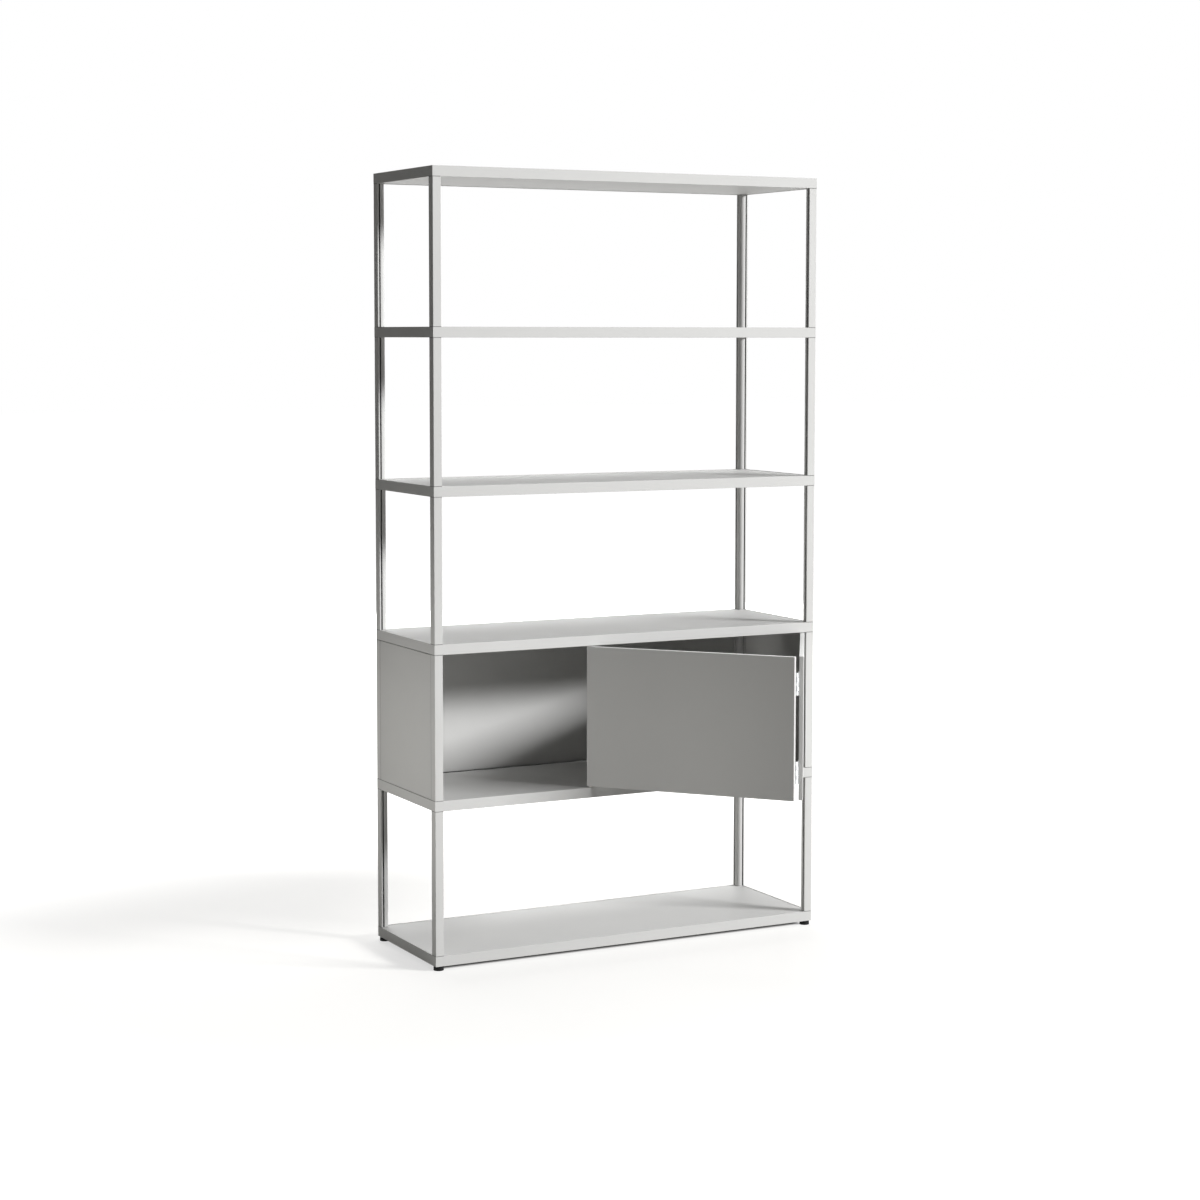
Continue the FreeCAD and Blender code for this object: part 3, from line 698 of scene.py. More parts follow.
@dataclass
class Finishes:
    """The materials of every slot, made once."""

    effects: EffectShelf
    coats: dict[Slot, bpy.types.Material] = field(default_factory=dict)

    def build(self) -> None:
        """Makes the shared effects and then each slot's material."""
        self.effects.build()
        grey = (0.525, 0.525, 0.518)
        finishes = {
            Slot.SHEET: PowderCoat("sheet_powder_coat", grey),
            Slot.FRAME: PowderCoat("frame_powder_coat", grey, roughness=0.72),
            Slot.ZINC: ZincPlate("zinc_plate"),
            Slot.PAD: MouldedPlastic("black_pad_plastic", (0.008, 0.008, 0.0085), 0.55, dust=0.01, gloss=0.15),
            Slot.NYLON: MouldedPlastic("natural_nylon", (0.72, 0.71, 0.66), 0.4, glow=0.15),
            Slot.MAGNET: SinteredMagnet("sintered_magnet"),
        }
        for slot, finish in finishes.items():
            self.coats[slot] = finish.material(self.effects)


@dataclass
class Workshop:
    """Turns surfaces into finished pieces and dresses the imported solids."""

    finishes: Finishes
    count: int = 0

    def piece(self, name: str, surface: Surface, slot: Slot, stands_for: Sequence[str],
              body: str = Body.FRAME.value) -> None:
        """Makes a surface a piece that rides on a body.

        Args:
            name: Name of the piece.
            surface: Its closed skin, in place.
            slot: Material slot that it takes its finish from.
            stands_for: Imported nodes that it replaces.
            body: Body that carries it.
        """
        mesh = bpy.data.meshes.new(name)
        mesh.from_pydata(surface.points, [], surface.faces)
        mesh.materials.append(self.finishes.coats[slot])
        mesh.polygons.foreach_set("use_smooth", np.ones(len(mesh.polygons), bool))
        mesh.set_sharp_from_angle(angle=math.radians(SMOOTH_LIMIT))
        mesh.validate()
        made = in_scene(name, mesh)
        weighted = made.modifiers.new("flat_faces_first", "WEIGHTED_NORMAL")
        weighted.keep_sharp = True
        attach(made, body)
        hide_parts(*stands_for)
        self.count += 1
        log.info("piece %s: %d points on %s", name, len(surface.points), body)

    def dress(self, node: str, slot: Slot) -> None:
        """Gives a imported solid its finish."""
        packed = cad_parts[node]
        for holder in packed.material_slots:
            holder.material = self.finishes.coats[slot]
        log.info("solid %s keeps its shape in %s", node, slot.value)


# Sub-assemblies
@dataclass(frozen=True)
class Layout:
    """Sizes that the sub-assemblies share."""

    width: float = mm(1000)
    depth: float = mm(340)
    pitch: float = mm(355)
    shelf_height: float = mm(24)
    foot_height: float = mm(10)
    leg_along_width: float = mm(20)
    leg_along_depth: float = mm(22)
    flange: float = mm(4)
    groove_width: float = mm(3.2)
    groove_depth: float = mm(9)
    tie_inset: float = mm(12)
    bays: int = 5
    closed_bay: int = 2
    rim: float = mm(2.5)
    recess: float = mm(0.8)
    door_gap: float = mm(2)
    hem: float = mm(1)

    def level(self, shelf: int) -> float:
        """Height of a shelf frame's underside; shelf 1 is the lowest."""
        return self.foot_height + self.pitch * (shelf - 1)

    @property
    def left(self) -> float:
        """Outer left face."""
        return -self.width / 2

    @property
    def front(self) -> float:
        """Outer front face."""
        return -self.depth / 2

    @property
    def cabinet_floor(self) -> float:
        """Lower end of the closed bay's panels and posts."""
        return self.level(self.closed_bay) + self.shelf_height

    @property
    def cabinet_roof(self) -> float:
        """Upper end of the closed bay's panels and posts."""
        return self.level(self.closed_bay + 1)


@dataclass
class ShelfFrames:
    """Six shelf frames: a mitred rim, four channels behind it, a ribbed deck and a soffit."""

    layout: Layout
    outer_edge: float = mm(0.7)
    inner_edge: float = mm(0.5)
    rail_width: float = mm(20)
    rail_wall: float = mm(1.2)
    gap: float = mm(0.8)
    deck_sheet: float = mm(1.2)
    soffit_sheet: float = mm(0.8)
    sheet_edge: float = mm(0.3)
    notch_radius: float = mm(0.4)
    rib_sheet: float = mm(1.2)
    rib_depth: float = mm(14)
    rib_offset: float = mm(170)

    def rim_ring(self) -> Surface:
        """Rim carried round the shelf: each profile point is a rectangle inset by its depth."""
        lay = self.layout
        height = lay.shelf_height
        radii = (self.outer_edge, self.inner_edge, self.inner_edge, self.outer_edge)
        profile = rounded_outline([(0, 0), (lay.rim, 0), (lay.rim, height), (0, height)], radii)
        half = np.array([lay.width / 2, lay.depth / 2])
        signs = np.array([(-1, -1), (1, -1), (1, 1), (-1, 1)])
        plan = signs[None, :, :] * (half[None, None, :] - profile[:, :1, None])
        tall = np.broadcast_to(profile[:, 1][:, None, None], (len(profile), len(signs), 1))
        points = np.concatenate([plan, tall], axis=2).reshape(-1, 3)
        faces = [face[::-1] for face in grid_faces(len(profile), len(signs), wrap_rows=True)]
        return Surface(points, faces)

    def channel(self, length: float) -> Surface:
        """Channel lying along +X from the origin, open towards the fascia at -Y."""
        lay = self.layout
        low = lay.recess + self.soffit_sheet
        high = lay.shelf_height - lay.recess - self.deck_sheet
        wall, near, far = self.rail_wall, lay.rim, self.rail_width
        outline = np.array([(near, low), (far, low), (far, high), (near, high), (near, high - wall),
                            (far - wall, high - wall), (far - wall, low + wall), (near, low + wall)])
        return stacked(outline, [(0, 0), (0, length)]).placed(lying_along_x())

    def channels(self) -> Surface:
        """The four channels in place, set back to clear the corner blocks."""
        lay = self.layout
        front = self.channel(lay.width - lay.leg_along_width * 2)
        front = front.shifted(x=lay.left + lay.leg_along_width, y=lay.front)
        side = self.channel(lay.depth - lay.leg_along_depth * 2).shifted(x=lay.front + lay.leg_along_depth)
        right = side.placed(quarter_turn()).shifted(x=-lay.left)
        return front + front.mirrored(y=True) + right + right.mirrored(x=True)

    def sheet(self, low: float, high: float) -> Surface:
        """Flat sheet inside the rim, notched round the corner blocks, with eased edges."""
        lay = self.layout
        side = lay.width / 2 - lay.rim - self.gap
        end = lay.depth / 2 - lay.rim - self.gap
        notch_x = lay.width / 2 - lay.leg_along_width - self.gap
        notch_y = lay.depth / 2 - lay.leg_along_depth - self.gap
        outline = [(-notch_x, -end), (notch_x, -end), (notch_x, -notch_y), (side, -notch_y),
                   (side, notch_y), (notch_x, notch_y), (notch_x, end), (-notch_x, end),
                   (-notch_x, notch_y), (-side, notch_y), (-side, -notch_y), (-notch_x, -notch_y)]
        return stacked(rounded_outline(outline, self.notch_radius, steps=3), eased(low, high, self.sheet_edge))

    def deck(self) -> Surface:
        """Top sheet with two ribs under it."""
        high = self.layout.shelf_height - self.layout.recess
        low = high - self.deck_sheet
        reach = self.layout.depth / 2 - self.rail_width - self.gap
        whole = self.sheet(low, high)
        for near in (-self.rib_offset, self.rib_offset):
            far = near + self.rib_sheet
            rib = np.array([(near, -reach), (far, -reach), (far, reach), (near, reach)])
            whole = whole + stacked(rib, [(0, low - self.rib_depth), (0, low)])
        return whole

    def build(self, shop: Workshop) -> None:
        """Makes the rim, deck and soffit of every shelf and coats its corner blocks."""
        lay = self.layout
        kinds = (
            ("rim", self.rim_ring() + self.channels(), Slot.FRAME, ("front_and_rear_rails", "end_rails")),
            ("top_sheet", self.deck(), Slot.SHEET, ("deck",)),
            ("under_sheet", self.sheet(lay.recess, lay.recess + self.soffit_sheet), Slot.SHEET, ("soffit",)),
        )
        for shelf in range(1, lay.bays + 2):
            title = f"shelf_{shelf}"
            for name, surface, slot, nodes in kinds:
                replaced = [f"{title}_{node}" for node in nodes]
                shop.piece(f"{title}_{name}", surface.shifted(z=lay.level(shelf)), slot, replaced)
            shop.dress(f"{title}_corner_blocks", Slot.FRAME)


@dataclass
class CornerPosts:
    """Extruded corner posts with two flanges, two panel grooves and a rounded nose."""

    layout: Layout
    outer_edge: float = mm(0.8)
    lip_edge: float = mm(0.35)
    nose: float = mm(10)
    end_chamfer: float = mm(0.45)

    def outline(self) -> np.ndarray:
        """Section of the front-left post, seen from above."""
        lay = self.layout
        wide, deep = lay.leg_along_width, lay.leg_along_depth
        near, far = lay.flange, lay.flange + lay.groove_width
        outer, lip = self.outer_edge, self.lip_edge
        corners = [(0, 0), (wide, 0), (wide, near), (wide - lay.groove_depth, near), (wide - lay.groove_depth, far),
                   (wide, far), (wide, deep), (far, deep), (far, deep - lay.groove_depth),
                   (near, deep - lay.groove_depth), (near, deep), (0, deep)]
        radii = [outer, outer, lip, lip, lip, lip, self.nose, lip, lip, lip, lip, outer]
        return rounded_outline(corners, radii, steps=7) + np.array([lay.left, lay.front])

    def build(self, shop: Workshop) -> None:
        """Makes the four posts of every bay and finishes the studs inside them."""
        lay = self.layout
        length, edge = lay.pitch - lay.shelf_height, self.end_chamfer
        ends = [(edge, 0), (0, edge), (0, length - edge), (edge, length)]
        posts = stacked(self.outline(), ends).at_four_corners()
        for bay in range(1, lay.bays + 1):
            up = lay.level(bay) + lay.shelf_height
            shop.piece(f"bay_{bay}_corner_posts", posts.shifted(z=up), Slot.FRAME, [f"bay_{bay}_posts"])
        shop.dress("tie_studs", Slot.ZINC)


@dataclass
class CabinetPanels:
    """Folded sheets that close the sides and the back of one bay."""

    layout: Layout
    sheet: float = mm(1.2)
    slip: float = mm(0.3)
    grip: float = mm(8)
    end_gap: float = mm(0.8)
    bend: float = mm(1.1)
    cut_edge: float = mm(0.25)

    def panel(self, length: float, leg: float) -> Surface:
        """Panel whose outer face looks along -Y, from the corner of the frame along +X."""
        lay = self.layout
        near, far = leg + self.slip, length - leg - self.slip
        front = lay.flange + (lay.groove_width - self.sheet) / 2
        back = front + self.sheet
        reach = self.slip + self.grip
        fold, cut = self.bend, self.cut_edge
        corners = [(near, 0), (far, 0), (far, front), (far + reach, front), (far + reach, back),
                   (far - self.sheet, back), (far - self.sheet, self.sheet), (near + self.sheet, self.sheet),
                   (near + self.sheet, back), (near - reach, back), (near - reach, front), (near, front)]
        radii = [fold, fold, cut, cut, cut, fold, cut, cut, fold, cut, cut, cut]
        low = lay.cabinet_floor + self.end_gap
        high = lay.cabinet_roof - self.end_gap
        return stacked(rounded_outline(corners, radii), eased(low, high, self.cut_edge))

    def build(self, shop: Workshop) -> None:
        """Makes both side panels and the back panel."""
        lay = self.layout
        side = self.panel(lay.depth, lay.leg_along_depth)
        right = side.placed(quarter_turn()).shifted(x=-lay.left, y=lay.front)
        back = self.panel(lay.width, lay.leg_along_width).shifted(x=lay.left, y=lay.front).mirrored(y=True)
        for title, surface in (("right", right), ("left", right.mirrored(x=True)), ("back", back)):
            shop.piece(f"cabinet_{title}_sheet", surface, Slot.SHEET, [f"cabinet_{title}_panel"])


@dataclass
class FoldingDoor:
    """Two leaves, their fold hinges, the pivots on the right and the glide at the free edge."""

    layout: Layout
    thickness: float = mm(10)
    sheet: float = mm(1)
    lead_width: float = mm(503)
    free_gap: float = mm(2)
    fold_gap: float = mm(2)
    pivot_gap: float = mm(3)
    door_angle: float = 57.7
    fold_ratio: float = 1.86
    pivot_inset: float = mm(5)
    fold_back: float = mm(5)
    bend: float = mm(1.2)
    seam: float = mm(0.15)
    cover_corner: float = mm(0.3)
    cover_edge: float = mm(0.15)
    knuckle: float = mm(4.5)
    knuckle_offset: float = mm(0.9)
    knuckle_gap: float = mm(0.3)
    knuckle_relief: float = mm(0.6)
    knuckle_edge: float = mm(0.4)
    bore_edge: float = mm(0.1)
    knuckles: int = 5
    hinge_height: float = mm(52)
    hinge_inset: float = mm(37)
    plate_width: float = mm(22)
    plate_sheet: float = mm(1.5)
    plate_start: float = mm(4)
    plate_corners: tuple[float, float] = (mm(0.3), mm(3))
    plate_edge: float = mm(0.25)
    neck_clear: float = mm(0.6)
    neck_overlap: float = mm(0.5)
    neck_corner: float = mm(0.15)
    neck_edge: float = mm(0.2)
    pin: float = mm(2)
    screw: float = mm(3.2)
    screw_heights: tuple[float, float] = (0.2, 0.8)
    screw_shift: float = mm(2)
    rod_chamfer: float = mm(0.4)
    pivot_radius: float = mm(2)
    pivot_grip: float = mm(8)
    turning_slack: float = mm(0.05)
    bush_wall: float = mm(1.5)
    bush_edge: float = mm(0.2)
    glide_inset: float = mm(8)
    glide_lift: float = mm(0.4)

    def __post_init__(self) -> None:
        """Works out the places that the pieces share, with the door closed."""
        lay = self.layout
        self.left = lay.left + lay.leg_along_width + self.free_gap
        self.right = -lay.left - lay.leg_along_width - self.pivot_gap
        self.lead_right = self.left + self.lead_width
        self.hinge_left = self.lead_right + self.fold_gap
        self.low = lay.cabinet_floor + lay.door_gap
        self.high = lay.cabinet_roof - lay.door_gap
        self.back = lay.front + self.thickness
        self.pivot = (self.right - self.pivot_inset, lay.front + self.pivot_inset)
        self.fold = (self.hinge_left - self.fold_gap / 2, self.back + self.fold_back)
        swing = turn_about(*self.pivot, self.door_angle)
        self.poses = {
            Body.FRAME: Matrix.Identity(4),
            Body.HINGE_LEAF: swing,
            Body.LEAD_LEAF: swing @ turn_about(*self.fold, -self.door_angle * self.fold_ratio),
        }

    def add(self, shop: Workshop, name: str, surface: Surface, slot: Slot, body: Body, node: str) -> None:
        """Makes a piece of the door, turned with its body to the half-open pose."""
        shop.piece(name, surface.placed(self.poses[body]), slot, [node], body.value)

    def leaf_outline(self, x0: float, x1: float, margin: float, radius: float) -> np.ndarray:
        """Rounded rectangle of a leaf seen from the front, drawn in its width and height."""
        corners = [(x0 + margin, self.low + margin), (x1 - margin, self.low + margin),
                   (x1 - margin, self.high - margin), (x0 + margin, self.high - margin)]
        return rounded_outline(corners, radius)

    def tray(self, x0: float, x1: float) -> Surface:
        """Folded tray open at the back: its outline at several depths, out over the bend and in again."""
        steps, edge = 6, mm(0.1)
        rounds = eased(0, self.thickness, self.bend, steps)[:steps]
        folded = [(depth, height - self.thickness) for depth, height in rounds]
        levels = folded + [(0, -edge), (edge, 0), (self.sheet, 0), (self.sheet, -self.thickness + self.sheet)]
        return stacked(self.leaf_outline(x0, x1, 0, self.bend), levels).placed(self.facing())

    def cover(self, x0: float, x1: float) -> Surface:
        """Flat sheet that closes the back of a tray, with a fine seam round it."""
        outline = self.leaf_outline(x0, x1, self.sheet + self.seam, self.cover_corner)
        return stacked(outline, eased(-self.sheet, 0, self.cover_edge)).placed(self.facing())

    def facing(self) -> Matrix:
        """Carries a slab drawn in width and height to the back of the closed door, its top towards +Y."""
        return Matrix(((1, 0, 0, 0), (0, 0, 1, self.back), (0, 1, 0, 0), (0, 0, 0, 1)))

    def knuckle_ring(self, index: int) -> Surface:
        """One knuckle round the pin, rolled from the plate's side, so its outside is off the pin's axis.

        Each point of the ring is the profile turned about the axis, shifted towards the plate by the
        offset times its share of the way from the bore to the outside.
        """
        step = self.hinge_height / self.knuckles
        slack = self.knuckle_gap / 2 + self.knuckle_relief
        low, high = step * index + slack, step * (index + 1) - slack
        bore, outer = self.pin + self.turning_slack, self.knuckle - self.knuckle_offset
        profile = rounded_outline([(outer, low), (outer, high), (bore, high), (bore, low)],
                                  [self.knuckle_edge, self.knuckle_edge, self.bore_edge, self.bore_edge], steps=4)
        ring = sleeve(profile, segments=32)
        share = (np.hypot(ring.points[:, 0], ring.points[:, 1]) - bore) / (outer - bore)
        shift = np.outer(share, [0.0, -self.knuckle_offset, 0.0])
        return Surface(ring.points + shift, ring.faces)

    def hinge_half(self, side: int, own: Sequence[int]) -> Surface:
        """Plate with countersunk screws and its share of the knuckles, standing on the origin's height."""
        step = self.hinge_height / self.knuckles
        near, far = self.plate_start, self.plate_start + self.plate_width
        corners = [(near, 0), (far, 0), (far, self.hinge_height), (near, self.hinge_height)]
        tight, wide = self.plate_corners
        outline = rounded_outline(corners, [tight, wide, wide, tight], steps=6)
        upright, front = standing_sheet(), -self.fold_back
        plate = stacked(outline, eased(0, self.plate_sheet, self.plate_edge))
        whole = plate.placed(upright).shifted(y=front + self.plate_sheet)
        for index in own:
            low, high = step * index + self.knuckle_gap / 2, step * (index + 1) - self.knuckle_gap / 2
            start, end = self.pin + self.neck_clear, near + self.neck_overlap
            root = rounded_outline([(start, low), (end, low), (end, high), (start, high)], self.neck_corner, steps=3)
            neck = stacked(root, eased(0, self.plate_sheet, self.neck_edge)).placed(upright)
            whole = whole + self.knuckle_ring(index) + neck.shifted(y=front + self.plate_sheet)
        for share in self.screw_heights:
            place = ((near + far) / 2 + self.screw_shift, front + self.plate_sheet, self.hinge_height * share)
            whole = whole + self.screw_head().shifted(*place)
        return whole if side > 0 else whole.mirrored(x=True)

    def screw_head(self) -> Surface:
        """Low countersunk head with a dished middle, facing +Y from the origin."""
        radius = self.screw
        profile = [(0, -mm(0.6)), (radius * 0.8, -mm(0.6)), (radius, mm(0.02)), (radius * 0.97, mm(0.16)),
                   (radius * 0.6, mm(0.3)), (radius * 0.42, mm(0.3)), (radius * 0.34, mm(0.05)), (0, mm(0.03))]
        return turned(profile, segments=24).placed(Matrix.Rotation(math.radians(-90), 4, "X"))

    def at_both_hinges(self, surface: Surface) -> Surface:
        """The piece at the lower and at the upper fold hinge."""
        lower = self.low + self.hinge_inset
        upper = self.high - self.hinge_inset - self.hinge_height
        x, y = self.fold
        return surface.shifted(x, y, lower) + surface.shifted(x, y, upper)

    def build_leaves(self, shop: Workshop) -> None:
        """Makes the trays and covers of both leaves."""
        for title, x0, x1, body in (("hinge", self.hinge_left, self.right, Body.HINGE_LEAF),
                                    ("lead", self.left, self.lead_right, Body.LEAD_LEAF)):
            self.add(shop, f"{title}_leaf_tray", self.tray(x0, x1), Slot.SHEET, body, f"{title}_leaf_shell")
            self.add(shop, f"{title}_leaf_back", self.cover(x0, x1), Slot.SHEET, body, f"{title}_leaf_cover")

    def build_fold_hinges(self, shop: Workshop) -> None:
        """Makes both halves and the pins of the fold hinges."""
        lead = self.hinge_half(-1, range(0, self.knuckles, 2))
        side = self.hinge_half(1, range(1, self.knuckles, 2))
        gap = self.knuckle_gap / 2
        pin = chamfered_rod(self.pin, gap, self.hinge_height - gap, self.rod_chamfer)
        for name, surface, body in (("fold_hinge_lead_halves", lead, Body.LEAD_LEAF),
                                    ("fold_hinge_halves", side, Body.HINGE_LEAF),
                                    ("fold_hinge_pins", pin, Body.HINGE_LEAF)):
            self.add(shop, f"{name}_formed", self.at_both_hinges(surface), Slot.ZINC, body, name)

    def build_pivots(self, shop: Workshop) -> None:
        """Makes the pivot pins, their bushes, the glide and the dressed magnets."""
        lay, grip, radius = self.layout, self.pivot_grip, self.pivot_radius
        x, y = self.pivot
        pins = (chamfered_rod(radius, lay.cabinet_floor - lay.recess, self.low + grip, self.rod_chamfer)
                + chamfered_rod(radius, self.high - grip, lay.cabinet_roof + lay.recess, self.rod_chamfer))
        self.add(shop, "door_pivot_pins_turned", pins.shifted(x, y), Slot.ZINC, Body.FRAME, "door_pivot_pins")
        bore, outer = radius + self.turning_slack, radius + self.bush_wall
        ring = rounded_outline([(outer, 0), (outer, grip), (bore, grip), (bore, 0)], self.bush_edge, steps=3)
        bush = sleeve(ring, segments=32).shifted(x, y)
        bushes = bush.shifted(z=self.low) + bush.shifted(z=self.high - grip)
        self.add(shop, "door_pivot_sleeves", bushes, Slot.NYLON, Body.HINGE_LEAF, "door_pivot_bushes")
        foot, stem, top = mm(1.6), mm(5.6), mm(6)
        glide = turned([(0, 0), (mm(2.6), 0), (mm(3.6), mm(0.3)), (mm(4), mm(0.8)), (mm(4), foot),
                        (mm(2), foot), (mm(2), foot + stem), (mm(1.6), foot + top), (0, foot + top)])
        glide = glide.shifted(self.left + self.glide_inset, lay.front + self.thickness / 2,
                              lay.cabinet_floor + self.glide_lift)
        self.add(shop, "door_glide_turned", glide, Slot.NYLON, Body.LEAD_LEAF, "door_glide")
        shop.dress("door_magnets", Slot.MAGNET)

    def build(self, shop: Workshop) -> None:
        """Makes the whole door."""
        self.build_leaves(shop)
        self.build_fold_hinges(shop)
        self.build_pivots(shop)


@dataclass
class LevellingFeet:
    """Round black pads on threaded stems, one at each corner."""

    layout: Layout
    pad_radius: float = mm(12)
    pad_height: float = mm(8)
    pad_edge: float = mm(1)
    socket: float = mm(4.1)
    stem_radius: float = mm(4)
    waist: float = mm(0.25)
    waist_span: tuple[float, float] = (0.35, 0.65)
    socket_floor: float = mm(2)
    stem_foot: float = mm(2.1)
    stem_top: float = mm(22)
    pitch: float = mm(1.25)
    thread_depth: float = mm(0.5)

    def pad(self) -> Surface:
        """Pad with rounded rims, a shallow waist and a blind socket, as a profile turned about the axis."""
        radius, high, edge = self.pad_radius, self.pad_height, self.pad_edge
        angle = np.linspace(0, math.pi / 2, 6)
        lower = [(radius - edge + edge * math.sin(a), edge - edge * math.cos(a)) for a in angle]
        upper = [(radius - edge + edge * math.cos(a), high - edge + edge * math.sin(a)) for a in angle]
        waist = [(radius - self.waist, high * share) for share in self.waist_span]
        socket = [(self.socket, high), (self.socket, self.socket_floor), (0, self.socket_floor)]
        return turned([(0, 0), *lower, *waist, *upper, *socket], segments=48)

    def build(self, shop: Workshop) -> None:
        """Makes the four pads and stems."""
        lay = self.layout
        x, y = -lay.left - lay.tie_inset, -lay.front - lay.tie_inset
        pad = self.pad()
        stem = threaded_rod(self.stem_radius, self.stem_foot, self.stem_top, self.pitch, self.thread_depth)
        for row, depth in (("front", -y), ("rear", y)):
            for side, along in (("left", -x), ("right", x)):
                corner = f"{row}_{side}"
                body = f"foot_{corner}"
                shop.piece(f"{body}_pad", pad.shifted(along, depth), Slot.PAD, [f"foot_pad_{corner}"], body)
                shop.piece(f"{body}_screw", stem.shifted(along, depth), Slot.ZINC, [f"foot_stem_{corner}"], body)


# Stage
@dataclass(frozen=True)
class Softbox:
    """Rectangular studio lamp aimed at a point."""

    name: str
    place: tuple[float, float, float]
    target: tuple[float, float, float]
    size: tuple[float, float]
    power: float
    colour: tuple[float, float, float] = (1.0, 1.0, 1.0)
    spread: float = 180.0

    def build(self) -> None:
        """Hangs the lamp with its face towards the target."""
        lamp = bpy.data.lights.new(self.name, "AREA")
        lamp.shape = "RECTANGLE"
        lamp.size, lamp.size_y = self.size
        lamp.energy = self.power
        lamp.color = self.colour
        lamp.spread = math.radians(self.spread)
        made = in_scene(self.name, lamp)
        made.visible_camera = False
        made.location = self.place
        aim = Vector(self.target) - Vector(self.place)
        made.rotation_euler = aim.to_track_quat("-Z", "Y").to_euler()


@dataclass(frozen=True)
class PhotoCamera:
    """Camera at the photograph's viewing angle, from the fit to its edges."""

    place: tuple[float, float, float] = (-2.75426, -5.29628, 1.43638)
    yaw: float = 27.5262
    pitch: float = 4.6674
    roll: float = 0.0535
    focal_pixels: float = 2513.97
    frame_pixels: float = 1200.0
    sensor: float = 36.0
    far_clip: float = 200.0
    shift: float = -0.05

    def build(self) -> None:
        """Places the camera and makes it the scene's own."""
        data = bpy.data.cameras.new("photo_camera")
        data.sensor_width = self.sensor
        data.lens = self.focal_pixels / self.frame_pixels * self.sensor
        data.shift_y = self.shift
        data.clip_end = self.far_clip
        made = in_scene("photo_camera", data)
        turn = Matrix.Rotation(math.radians(-self.yaw), 4, "Z")
        tip = Matrix.Rotation(math.radians(90 - self.pitch), 4, "X")
        lean = Matrix.Rotation(math.radians(self.roll), 4, "Z")
        made.matrix_world = Matrix.Translation(self.place) @ turn @ tip @ lean
        bpy.context.scene.camera = made


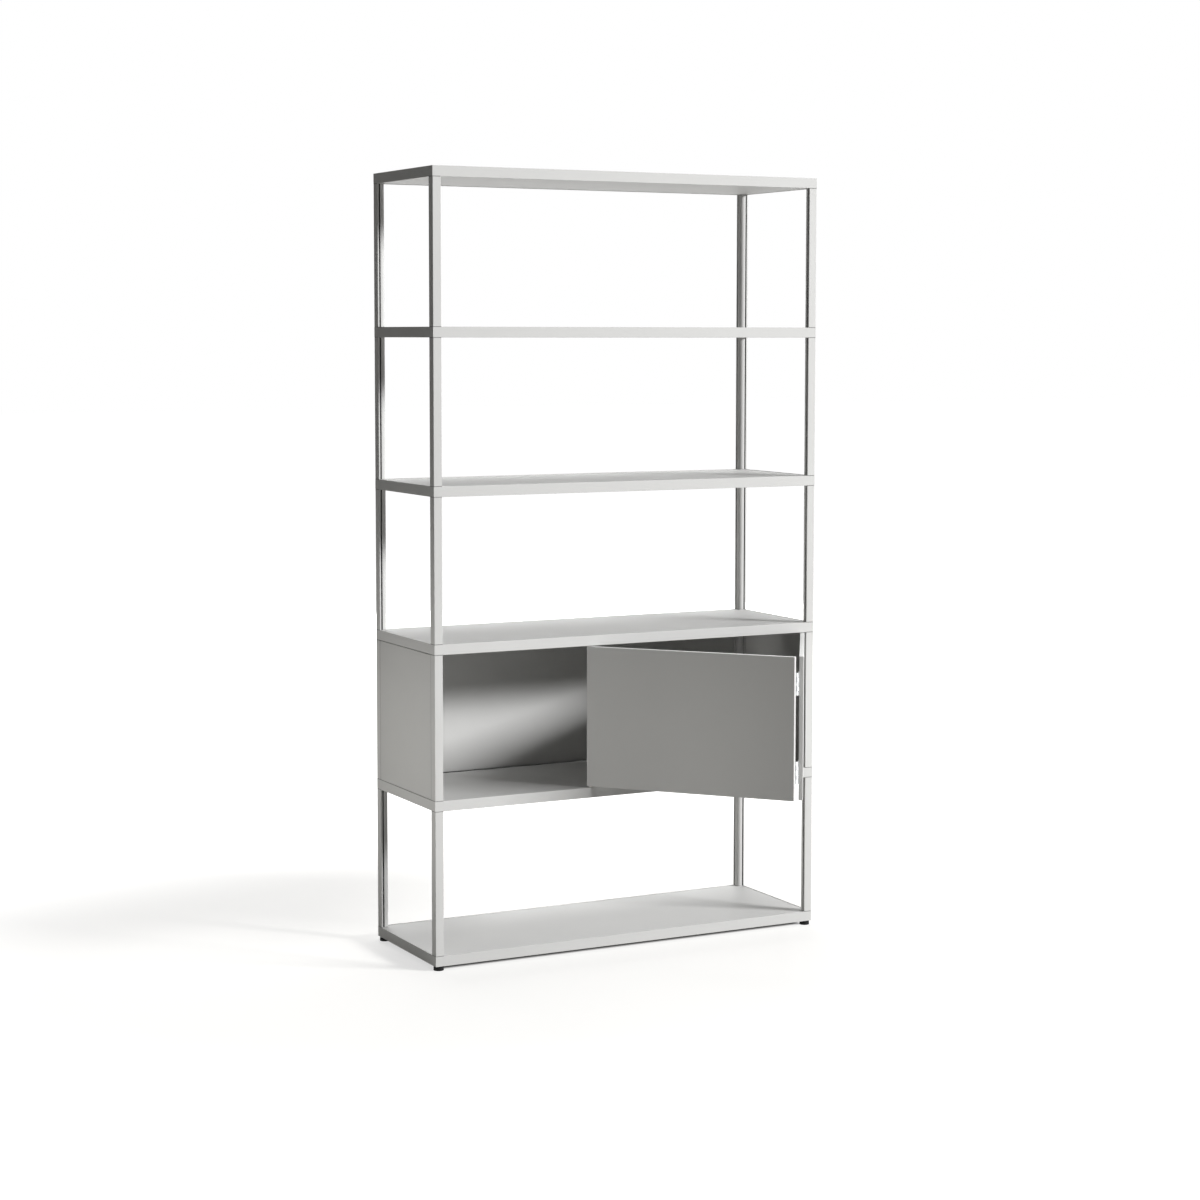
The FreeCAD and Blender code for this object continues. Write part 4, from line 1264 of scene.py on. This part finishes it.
@dataclass
class Studio:
    """White floor and surroundings, soft lamps and the camera."""

    layout: Layout
    floor_half: float = 40.0
    floor_colour: tuple[float, float, float] = (0.42, 0.414, 0.398)
    near_paper: float = 0.63
    far_paper: float = 1.0
    fade_start: float = 0.8
    fade_end: float = 1.6
    fade_stretch: float = 1.6
    # Painted contact shadow: inside the unit's footprint the paper's glow falls to the shade level.
    shade_start: float = mm(12)
    shade_end: float = mm(30)
    shade_level: float = 0.03
    ambient: float = 0.02
    ambient_colour: tuple[float, float, float] = (1.0, 0.985, 0.93)
    lamps: tuple[Softbox, ...] = (
        Softbox("key_softbox", (9.36, -9.25, 5.36), (0.0, 0.0, 0.6), (4.34, 1.96), 3090.0),
        Softbox("top_softbox", (0.4, 1.2, 5.2), (0.0, 0.0, 0.9), (2.6, 2.2), 104.0),
        Softbox("back_glow", (1.7, 6.8, 1.2), (0.2, 0.0, 0.8), (6.0, 2.0), 520.0),
        Softbox("left_low_fill", (-3.5, -1.1, 0.6), (-0.1, -0.25, 0.5), (0.8, 0.5), 0.92,
                (1.0, 0.99, 0.965), 26.0),
        Softbox("left_grid_softbox", (-2.2, 0.5, 0.5), (-0.5, 0.1, 0.47), (0.5, 0.35), 0.33,
                (1.0, 0.985, 0.94), 34.0),
    )

    def floor(self) -> None:
        """Plain floor whose real shading the camera sees on top of white paper, which takes over with distance; under
        the unit the paper is dimmed as a painted contact shadow.
        """
        half = self.floor_half
        mesh = bpy.data.meshes.new("studio_floor")
        mesh.from_pydata([(-half, -half, 0), (half, -half, 0), (half, half, 0), (-half, half, 0)], [], [(0, 1, 2, 3)])
        made = in_scene("studio_floor", mesh)
        material = bpy.data.materials.new("white_paper")
        material.use_nodes = True
        tree = material.node_tree
        tree.nodes.clear()
        tools = NodeTree(tree)
        lit = tools.add("BsdfDiffuse", Color=(*self.floor_colour, 1))
        across, along, _ = tools.folded(tools.add("TexCoord").outputs["Object"])
        oval = tools.add("CombineXYZ", X=tools.maths("DIVIDE", across, self.fade_stretch), Y=along)
        away = tools.add("VectorMath", {"operation": "LENGTH"})
        tools.feed(away.inputs[0], oval.outputs["Vector"])
        fade = tools.add("MapRange", {"interpolation_type": "SMOOTHSTEP"}, Value=away.outputs["Value"],
                         From_Min=self.fade_start, From_Max=self.fade_end).outputs[0]
        path = tools.add("LightPath").outputs
        # Painted shadow under the unit: the paper dims with the distance inside its footprint.
        beneath = tools.maths("MINIMUM", tools.maths("SUBTRACT", -self.layout.left, across),
                              tools.maths("SUBTRACT", -self.layout.front, along))
        paper_outside_painted_shadow = tools.remap(beneath, 1.0, self.shade_level, self.shade_start, self.shade_end)
        seen = tools.larger(tools.product(path["Is Camera Ray"], paper_outside_painted_shadow), path["Is Glossy Ray"])
        strength = tools.product(seen, tools.remap(fade, self.near_paper, self.far_paper))
        paper = tools.add("Emission", Color=(1, 1, 1, 1), Strength=strength)
        both = tools.add("AddShader")
        tools.feed(both.inputs[0], lit.outputs[0])
        tools.feed(both.inputs[1], paper.outputs[0])
        tools.add("OutputMaterial", Surface=both.outputs[0])
        mesh.materials.append(material)

    def surroundings(self) -> None:
        """World that lights softly and shows as white to the camera and in reflections."""
        world = bpy.data.worlds.new("studio_world")
        world.use_nodes = True
        world.node_tree.nodes.clear()
        tools = NodeTree(world.node_tree)
        path = tools.add("LightPath").outputs
        direct = tools.larger(path["Is Camera Ray"], path["Is Transmission Ray"])
        seen = tools.larger(direct, path["Is Glossy Ray"])
        colour = tools.mix_colour(seen, (*self.ambient_colour, 1), (1, 1, 1, 1))
        strength = tools.remap(seen, self.ambient, 1.0)
        sky = tools.add("Background", Color=colour, Strength=strength)
        tools.add("OutputWorld", Surface=sky.outputs[0])
        bpy.context.scene.world = world

    def build(self) -> None:
        """Sets the stage."""
        self.floor()
        self.surroundings()
        for lamp in self.lamps:
            lamp.build()
        PhotoCamera().build()
        bpy.context.scene.view_settings.view_transform = "Standard"


def main() -> None:
    """Builds the finishes, every sub-assembly and the stage, in order."""
    logging.basicConfig(level=logging.INFO, format="%(name)s %(message)s")
    layout = Layout()
    finishes = Finishes(EffectShelf(layout))
    finishes.build()
    shop = Workshop(finishes)
    for assembly in (ShelfFrames(layout), CornerPosts(layout), CabinetPanels(layout),
                     FoldingDoor(layout), LevellingFeet(layout)):
        assembly.build(shop)
        log.info("%s done, %d pieces so far", type(assembly).__name__, shop.count)
    Studio(layout).build()


if __name__ == "__main__":
    main()
